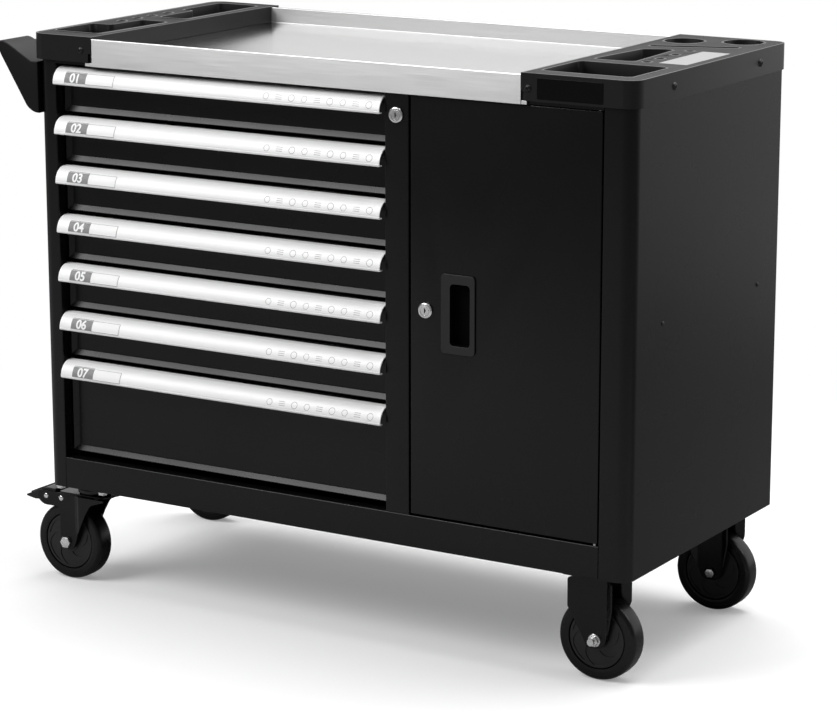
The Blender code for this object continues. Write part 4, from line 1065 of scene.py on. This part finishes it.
# Cap screws: blackened pan heads with a cross recess, driven through the caps' skirts. Worn
# blackening gives them a dim metal glint beside the plastic.
rub_size = 2 * mm
black_steel, tree, shader = new_finish("blackened_steel_screw", "#3a3a3a", 1, 0.3)
shine(tree, shader, grain(tree, rub_size).outputs["Fac"], 0.28, 0.5)
side_screw = 6.0 * mm
end_screw = 5.2 * mm
screw_height = 3.2 * mm
cross_length = 5.2 * mm
cross_width = 1.1 * mm
cross_floor_share = 0.45
cross_turn = math.radians(25)
cap_left, cap_right = spot("left_end_cap")[0].x, cap_high.x
cap_front, cap_back = cap_low.y, cap_high.y
screws = (
    ("left_front", (89 * mm, cap_front, 862 * mm), "Y", 1, end_screw),
    ("right_front", (866.7 * mm, cap_front, 861.5 * mm), "Y", 1, end_screw),
    ("right_side_1", (cap_right, 106.6 * mm, 863 * mm), "X", 1, side_screw),
    ("right_side_2", (cap_right, 390.5 * mm, 863 * mm), "X", 1, side_screw),
    ("left_side_1", (cap_left, 106.6 * mm, 863 * mm), "X", -1, side_screw),
    ("left_side_2", (cap_left, 390.5 * mm, 863 * mm), "X", -1, side_screw),
    ("left_rear", (89 * mm, cap_back, 862 * mm), "Y", -1, end_screw),
    ("right_rear", (946 * mm, cap_back, 862 * mm), "Y", -1, end_screw),
)


def cross_head(radius):
    """A pan head with a cross recess, lying on the origin and looking up."""
    tools = []
    for across, along in ((cross_length, cross_width), (cross_width, cross_length)):
        tools.append(plate(corners_of((-across / 2, -along / 2), (across / 2, along / 2)), "Z",
                           screw_height * cross_floor_share, screw_height * 2))
    shape = carved(turned(dome(radius, screw_height), (0, 0, 0), "Z", 32), *tools)
    swing(shape, cross_turn, "Z")
    return shape


def stand_up(shape, place, way, axis="Y"):
    """Tip a head that looks up over, to the front or the right (way 1) or back, and place it."""
    swing(shape, way * math.pi / 2, "X" if axis == "Y" else "Y")
    shift(shape, place)
    return shape


for name, place, axis, way, radius in screws:
    dress(f"cap_screw_{name}", stand_up(cross_head(radius), place, way, axis), black_steel,
          "cabinet", angle=35)


# Push handle: two pressed brackets, powder coated, bolted to the left side, and a tube grip
# between them, sleeved in black plastic.
# The brackets' coat has a fine texture that kills the gloss of the cabinet's own coat.
coat_texture, coat_texture_depth = 1.5 * mm, 0.05 * mm
handle_coat, tree, shader = new_finish("fine_textured_black_powder_coat", "#080808", 0, 0.5)
shader.inputs["IOR"].default_value = 1.3
fine_tooth(tree, shader, coat_texture, coat_texture_depth)
# Bracket corners as shares of its reach out from the side and of its height.
handle_shares = ((0, 0.755), (0.18, 0.759), (1.356, 1.202), (0.24, 0), (0, 0))
handle_radii = (0, 0, 13.5 * mm, 26 * mm, 0)
handle_wall = 2 * mm
handle_bend = 1.8 * mm
grip_wall = 1.5 * mm
grip_lip = 0.4 * mm
grip_round = 0.6 * mm
for node, open_way in (("handle_front_bracket", 1), ("handle_rear_bracket", -1)):
    low, high = spot(node)
    corners = [(high.x + share * (low.x - high.x), low.z + up * (high.z - low.z))
               for share, up in handle_shares]
    shape = plate(corners, "Y", low.y, high.y, handle_radii, steps=14)
    mouth = [face for face in shape.faces if face.normal.y * open_way > facing]
    bmesh.ops.delete(shape, geom=mouth, context="FACES_ONLY")
    rim = [edge for edge in shape.edges if len(edge.link_faces) == 2
           and any(abs(face.normal.y) > facing for face in edge.link_faces)]
    soften(shape, rim, handle_bend)
    dress(f"{node}_pressing", shape, handle_coat, "cabinet", [node],
          wall=handle_wall, edge=cut_edge, angle=35)
low, high = spot("handle_grip")
grip_radius = (high.z - low.z) / 2
half = (high.y - low.y) / 2
profile = [(grip_radius - grip_wall, -half), (grip_radius - grip_lip, -half),
           (grip_radius, -half + grip_round), (grip_radius, half - grip_round),
           (grip_radius - grip_lip, half), (grip_radius - grip_wall, half)]
dress("handle_grip_sleeve", turned(profile, (low + high) / 2, closed=True), abs_smooth,
      "cabinet", ["handle_grip"])


# Castor wheels: a solid rubber tyre moulded on a plastic hub, whose faces carry five swept
# relief pockets. A bolt or a flanged nut holds each wheel between the fork's legs.
# Rubber: black with a broad soft highlight on the shoulder, clouded by bloom in wide patches.
bloom_size = 30 * mm
rubber_tooth, rubber_tooth_depth = 1.5 * mm, 0.04 * mm
rubber, tree, shader = new_finish("moulded_black_rubber", "#080808", 0, 0.3)
shader.inputs["IOR"].default_value = 1.4
shine(tree, shader, grain(tree, bloom_size).outputs["Fac"], 0.24, 0.34)
fine_tooth(tree, shader, rubber_tooth, rubber_tooth_depth)
# Polypropylene: a shade lighter than the tyre, so that the pockets' edges can be seen.
hub_tooth, hub_tooth_depth = 2.5 * mm, 0.02 * mm
hub_black, tree, shader = new_finish("moulded_black_polypropylene_hub", "#121212", 0, 0.4)
fine_tooth(tree, shader, hub_tooth, hub_tooth_depth)
# Tyre section, in millimetres: first out from the hub and down from the tyre's face, then in
# from the tread and down from the face.
tyre_root = ((0.3, 4), (1, 3.6), (1.4, 0.6), (2.2, 0.2))
tyre_line = ((10.5, 0), (9.8, 0.15), (9, 0.05))
tyre_shoulder = 7 * mm
tyre_crown = 0.25 * mm
tyre_flat_share = 0.4
shoulder_steps = 8
hub_radius = 44.5 * mm
hub_face = 16 * mm
hub_chamfer = 1 * mm
hub_edge = 0.5 * mm
boss_radius = 14 * mm
boss_half = 19 * mm
bore_radius = 5.3 * mm
spoke_count = 5
spoke_inner = 17.5 * mm
spoke_outer = 40 * mm
spoke_depth = 1.2 * mm
spoke_sweep = 48
spoke_open = 50
spoke_curve = 1.6
spoke_steps = 6
cutter_past = 2 * mm


def half_and_mirror(half):
    """A closed section from its upper half, mirrored below."""
    return half + [(radius, -height) for radius, height in reversed(half)]


def swept_pocket(turn, face, way):
    """A cutter for one relief pocket: an annular piece whose sides sweep round."""
    shares = [step / spoke_steps for step in range(spoke_steps + 1)]

    def at(radius, degrees):
        angle = math.radians(turn + degrees)
        return radius * math.cos(angle), radius * math.sin(angle)

    def side(degrees, inner_shares):
        return [at(spoke_inner + (spoke_outer - spoke_inner) * share,
                   degrees + spoke_sweep * share ** spoke_curve) for share in inner_shares]

    outline = [at(spoke_inner, spoke_open * share) for share in shares]
    outline += side(spoke_open, shares[1:-1])
    outline += [at(spoke_outer, spoke_sweep + spoke_open * share) for share in shares[::-1]]
    outline += side(0, shares[-2:0:-1])
    start, end = sorted((way * (face - spoke_depth), way * (face + cutter_past)))
    return plate(outline, "Y", start, end)


def dress_wheel(label, body):
    """One wheel: its tyre and its hub, where the solids are."""
    low, high = spot(f"{label}_tyre")
    centre = (low + high) / 2
    outer = (high.z - low.z) / 2
    half = (high.y - low.y) / 2
    section = [(hub_radius + out * mm, half - down * mm) for out, down in tyre_root]
    section += [(outer - into * mm, half - down * mm) for into, down in tyre_line]
    for step in range(shoulder_steps + 1):
        angle = math.pi / 2 * step / shoulder_steps
        section.append((outer - tyre_shoulder + (tyre_shoulder - tyre_crown) * math.sin(angle),
                        half - tyre_shoulder + tyre_shoulder * math.cos(angle)))
    section.append((outer, tyre_flat_share * half))
    dress(f"{label}_tyre_ring", turned(half_and_mirror(section), centre, steps=72, closed=True),
          rubber, body, [f"{label}_tyre"], angle=40)
    section = [(bore_radius, boss_half), (boss_radius - hub_chamfer, boss_half),
               (boss_radius, boss_half - hub_chamfer), (boss_radius, hub_face),
               (hub_radius - hub_chamfer, hub_face), (hub_radius, hub_face - hub_chamfer)]
    shape = turned(half_and_mirror(section), (0, 0, 0), steps=72, closed=True)
    tools = [swept_pocket(360 / spoke_count * index, hub_face, way)
             for index in range(spoke_count) for way in (-1, 1)]
    shape = carved(shape, *tools)
    shift(shape, centre)
    dress(f"{label}_hub_wheel", shape, hub_black, body, [f"{label}_hub"],
          edge=hub_edge, angle=35)
    return centre


crown_share = 0.9
crown_angle = math.radians(40)
crown_edge = 0.9 * mm
washer_sink = 0.2 * mm
washer_rim = 1.2 * mm
washer_thick = 1.8 * mm
washer_slope = 0.6 * mm
bore_floor = 1 * mm


def hex_head(across, height, washer=0, bore=0):
    """A bolt head or a nut: a hexagon with a chamfered crown, on a washer face, looking up."""
    shape = turned([(0, 0), (across / math.sqrt(3), 0), (across / math.sqrt(3), height),
                    (0, height)], (0, 0, 0), "Z", 6)
    crown = [edge for edge in shape.edges if len(edge.link_faces) == 2
             and all(point.co.z > height * crown_share for point in edge.verts)
             and edge.calc_face_angle() > crown_angle]
    soften(shape, crown, crown_edge, 3)
    if washer:
        add_to(shape, turned([(0, -washer_sink), (washer, -washer_sink), (washer, washer_rim),
                              (washer - washer_slope, washer_thick), (0, washer_thick)],
                             (0, 0, 0), "Z", 32))
    if bore:
        shape = carved(shape, turned([(0, bore_floor), (bore, bore_floor), (bore, 2 * height),
                                      (0, 2 * height)], (0, 0, 0), "Z", 24))
    return shape


leg_inner = 20.5 * mm
leg_sheet = 2.5 * mm
leg_outer = leg_inner + leg_sheet
castor_plate = 3 * mm
castor_edge = 0.5 * mm
plate_corner = 6 * mm
bolt_radius = 4.8 * mm
bolt_chamfer = 0.8 * mm
bolt_past_nut = 7 * mm
bolt_past_head = 5 * mm
flanged_nut = {"across": 14.5 * mm, "height": 6.4 * mm, "washer": 9.8 * mm, "bore": 5.4 * mm}
hexagon_height = 5 * mm
hexagon_lift = 0.2 * mm
# Bright zinc on fasteners: small sparks of light on the dark forks; plating varies over 3 mm.
plating_size = 3 * mm
bright_zinc, tree, shader = new_finish("bright_zinc_plated_fastener", "#ececec", 1, 0.24)
shine(tree, shader, grain(tree, plating_size).outputs["Fac"], 0.2, 0.3)


def dress_axle(label, body, flanged, size=0):
    """One wheel bolt with its head or flanged nut in front and its nut behind."""
    low, high = spot(f"{label}_axle")
    centre = (low + high) / 2
    half = leg_outer + (bolt_past_nut if flanged else bolt_past_head)
    profile = [(0, -half), (bolt_radius - bolt_chamfer, -half),
               (bolt_radius, -half + bolt_chamfer), (bolt_radius, half - bolt_chamfer),
               (bolt_radius - bolt_chamfer, half), (0, half)]
    dress(f"{label}_axle_bolt", turned(profile, centre, steps=24), bright_zinc, body,
          [f"{label}_axle"])
    for end, way in (("front", 1), ("rear", -1)):
        if flanged:
            shape = hex_head(**flanged_nut)
        else:
            shape = hex_head(size, hexagon_height)
        place = centre + Vector((0, -way * (leg_outer + hexagon_lift), 0))
        dress(f"{label}_{end}_hexagon", stand_up(shape, place, way), bright_zinc, body,
              angle=35)


# Rigid castors: legs pressed with flared wings, welded to a bolted top plate, powder coated.
# A leg's corners, in millimetres: how far right of the axle, over what and how far, and the
# corner's radius. A fold line: how far right of the axle, which side of it bends, and by how much.
wing_flare = math.radians(42)
fold_half = 2.4 * mm
fold_lines = (-1, -0.5, 0, 0.5, 1)
bore_inside = 4 * mm
bore_outside = 9 * mm
rigid_hole = 9.8 * mm
rigid_bolt = 13.5 * mm
rigid_leg = ((-42, "plate", -6, 3), (-42, "axle", 50, 6), (-13, "axle", -12, 13),
             (15, "axle", -12, 13), (21, "axle", 14, 20), (34, "axle", 50, 12),
             (34, "plate", -6, 5), (20, "plate", 0, 3), (-24, "plate", 0, 3))
rigid_folds = ((-22 * mm, -1, wing_flare), (19 * mm, 1, wing_flare))


def pressed_leg(outline, radii, folds):
    """A leg's sheet in the XZ plane, looking to -Y, bent along its folds."""
    shape = outline_face(outline, radii, 8)
    for x, way, angle in folds:
        for line in fold_lines:
            bmesh.ops.bisect_plane(shape, geom=shape.verts[:] + shape.edges[:] + shape.faces[:],
                                   plane_co=(x + line * fold_half, 0, 0), plane_no=(1, 0, 0),
                                   dist=snap)
    for point in shape.verts:
        z = point.co.y
        across, forward = point.co.x, 0
        for x, way, angle in folds:
            past = (point.co.x - x) * way + fold_half
            if past > 0:
                bent = min(past, 2 * fold_half)
                turn = angle * bent / (2 * fold_half)
                flat = past - bent
                forward -= bent * math.sin(turn / 2) + flat * math.sin(angle)
                across = x + way * (bent * math.cos(turn / 2) + flat * math.cos(angle)
                                    - fold_half)
        point.co = (across, forward, z)
    bmesh.ops.recalc_face_normals(shape, faces=shape.faces)
    shape.normal_update()
    tallest = max(shape.faces, key=lambda face: face.calc_area())
    if tallest.normal.y > 0:
        bmesh.ops.reverse_faces(shape, faces=shape.faces)
    return shape


def leg_pair(label, corners, folds, centre, top, body, hole):
    """Both legs of a fork with their bolt holes, the rear one mirrored."""
    level = {"axle": centre.z, "plate": top}
    outline = [(x * mm, level[base] + up * mm) for x, base, up, radius in corners]
    radii = [corner[-1] * mm for corner in corners]
    for side, way in (("front", 1), ("rear", -1)):
        shape = pressed_leg(outline, radii, folds)
        shift(shape, (0, -leg_outer, 0))
        bore = turned([(0, leg_inner - bore_inside), (hole, leg_inner - bore_inside),
                       (hole, leg_inner + bore_outside), (0, leg_inner + bore_outside)],
                      (0, 0, centre.z), steps=32)
        shape = carved(shape, bore, wall=leg_sheet)
        if way < 0:
            bmesh.ops.scale(shape, vec=(1, -1, 1), verts=shape.verts)
            bmesh.ops.reverse_faces(shape, faces=shape.faces)
        shift(shape, (centre.x, centre.y, 0))
        dress(f"{label}_{side}_leg", shape, powder_coat, body,
              [f"{label}_fork"] if way > 0 else (), edge=castor_edge, angle=35)


for label in ("front_right", "rear_right"):
    centre = dress_wheel(label, f"{label}_wheel")
    dress_axle(label, "cabinet", flanged=label == "front_right", size=rigid_bolt)
    low, high = spot(f"{label}_fork")
    shape = plate(corners_of(low, high), "Z", high.z - castor_plate, high.z, [plate_corner] * 4)
    dress(f"{label}_top_plate", shape, powder_coat, "cabinet", edge=castor_edge)
    leg_pair(label, rigid_leg, rigid_folds, centre, high.z - castor_plate, "cabinet", rigid_hole)


# Swivel castors: the fork turns under its plate on a ball race and a kingpin. Its legs joggle
# out to the wings and run back into arms that hold a sprung foot pedal on two rivets.
# Legs and pedal are listed in millimetres as above, the pedal from the cabinet's own corner.
joggle = math.radians(38)
swivel_hole = 9 * mm
swivel_bolt = 17 * mm
swivel_leg = ((-56, "plate", 0, 8), (-56, "axle", 56, 18), (-12, "axle", 57, 8),
              (-12, "axle", -11, 10.5), (13, "axle", -11, 10.5), (24, "axle", 15, 20),
              (44, "axle", 49, 20), (58, "axle", 68, 16), (92, "plate", -2.5, 0),
              (92, "plate", 0, 0))
swivel_folds = ((19.5 * mm, 1, joggle), (28.5 * mm, 1, -joggle))
race_height = 12 * mm
race_section = ((0, 0), (24, 0), (27, 4), (27, 9), (23, 12), (0, 12))
plate_bolt_inset = 9 * mm
plate_bolt_across = 13 * mm
plate_bolt_washer = 8.5 * mm
crown_left, crown_right = -12 * mm, 80 * mm
crown_radii = (4 * mm, 20 * mm, 20 * mm, 4 * mm)
rivet_radius = 4.4 * mm
rivet_height = 1.8 * mm
rivet_level = 71.5 * mm
rivet_places = (("outer", -39 * mm), ("inner", -9 * mm))
pedal_corners = ((-71, 127.5, 1), (-54, 124.5, 6), (-36, 126, 6), (-12, 130, 2), (-12, 147, 2),
                 (-30, 147.5, 20), (-71, 130, 1))
pedal_edge = 0.8 * mm
pedal_tip = Vector((-71 * mm, 0, 130 * mm))
pedal_slope = 0.43
rib_count = 4
rib_radius = 1.6 * mm
rib_start = 9 * mm
rib_step = 7 * mm
rib_lift = 0.6 * mm
rib_inset = 3 * mm
# Black zinc: a dim cloudy metal sheen on race and pedal, beside the forks' coat.
black_spangle = 6 * mm
black_zinc, tree, shader = new_finish("black_zinc_plated_steel", "#3a3a3a", 1, 0.36)
shine(tree, shader, grain(tree, black_spangle).outputs["Fac"], 0.3, 0.42)
for label in ("front_left", "rear_left"):
    swivel = f"{label}_swivel"
    centre = dress_wheel(label, f"{label}_wheel")
    dress_axle(label, swivel, flanged=False, size=swivel_bolt)
    low, high = spot(f"{label}_castor_plate")
    middle = (low + high) / 2
    shape = plate(corners_of(low, high), "Z", high.z - castor_plate, high.z, [plate_corner] * 4)
    dress(f"{label}_mounting_plate", shape, powder_coat, "cabinet",
          [f"{label}_castor_plate"], edge=castor_edge)
    bolts = [(x, y) for x in (low.x + plate_bolt_inset, high.x - plate_bolt_inset)
             for y in (low.y + plate_bolt_inset, high.y - plate_bolt_inset)]
    for number, (x, y) in enumerate(bolts, 1):
        shape = hex_head(plate_bolt_across, hexagon_height, washer=plate_bolt_washer)
        swing(shape, math.pi, "X")
        shift(shape, (x, y, high.z - castor_plate - gap))
        dress(f"{label}_plate_bolt_{number}", shape, bright_zinc, "cabinet", angle=35)
    crown_top = spot(f"{label}_fork")[1].z - race_height
    leg_top = crown_top - castor_plate
    shape = turned([(radius * mm, up * mm) for radius, up in race_section],
                   (middle.x, middle.y, crown_top), "Z", 40)
    dress(f"{label}_ball_race", shape, black_zinc, swivel, edge=castor_edge)
    leg_pair(label, swivel_leg, swivel_folds, centre, leg_top, swivel, swivel_hole)
    shape = plate(corners_of((centre.x + crown_left, centre.y - leg_outer),
                             (centre.x + crown_right, centre.y + leg_outer)), "Z", leg_top,
                  crown_top, crown_radii)
    dress(f"{label}_crown", shape, powder_coat, swivel, edge=castor_edge)
    for side, way in (("front", -1), ("rear", 1)):
        for rivet, x in rivet_places:
            shape = turned(dome(rivet_radius, rivet_height), (0, 0, 0), "Z", 24)
            place = centre + Vector((x, way * leg_outer, rivet_level))
            dress(f"{label}_{side}_{rivet}_rivet", stand_up(shape, place, -way), bright_zinc,
                  swivel)
    low, high = spot(f"{label}_brake_pedal")
    shape = plate([(x * mm, z * mm) for x, z, radius in pedal_corners], "Y", low.y, high.y,
                  [radius * mm for x, z, radius in pedal_corners])
    dress(f"{label}_foot_pedal", shape, black_zinc, f"{label}_pedal",
          [f"{label}_brake_pedal"], edge=pedal_edge)
    rib_half = (high.y - low.y) / 2 - rib_inset
    for rib in range(rib_count):
        along = rib_start + rib * rib_step
        place = pedal_tip + Vector((along, (low.y + high.y) / 2, along * pedal_slope + rib_lift))
        shape = turned(half_and_mirror([(0, rib_half), (rib_radius, rib_half)]), place, steps=12)
        dress(f"{label}_pedal_rib_{rib + 1}", shape, black_zinc, f"{label}_pedal")
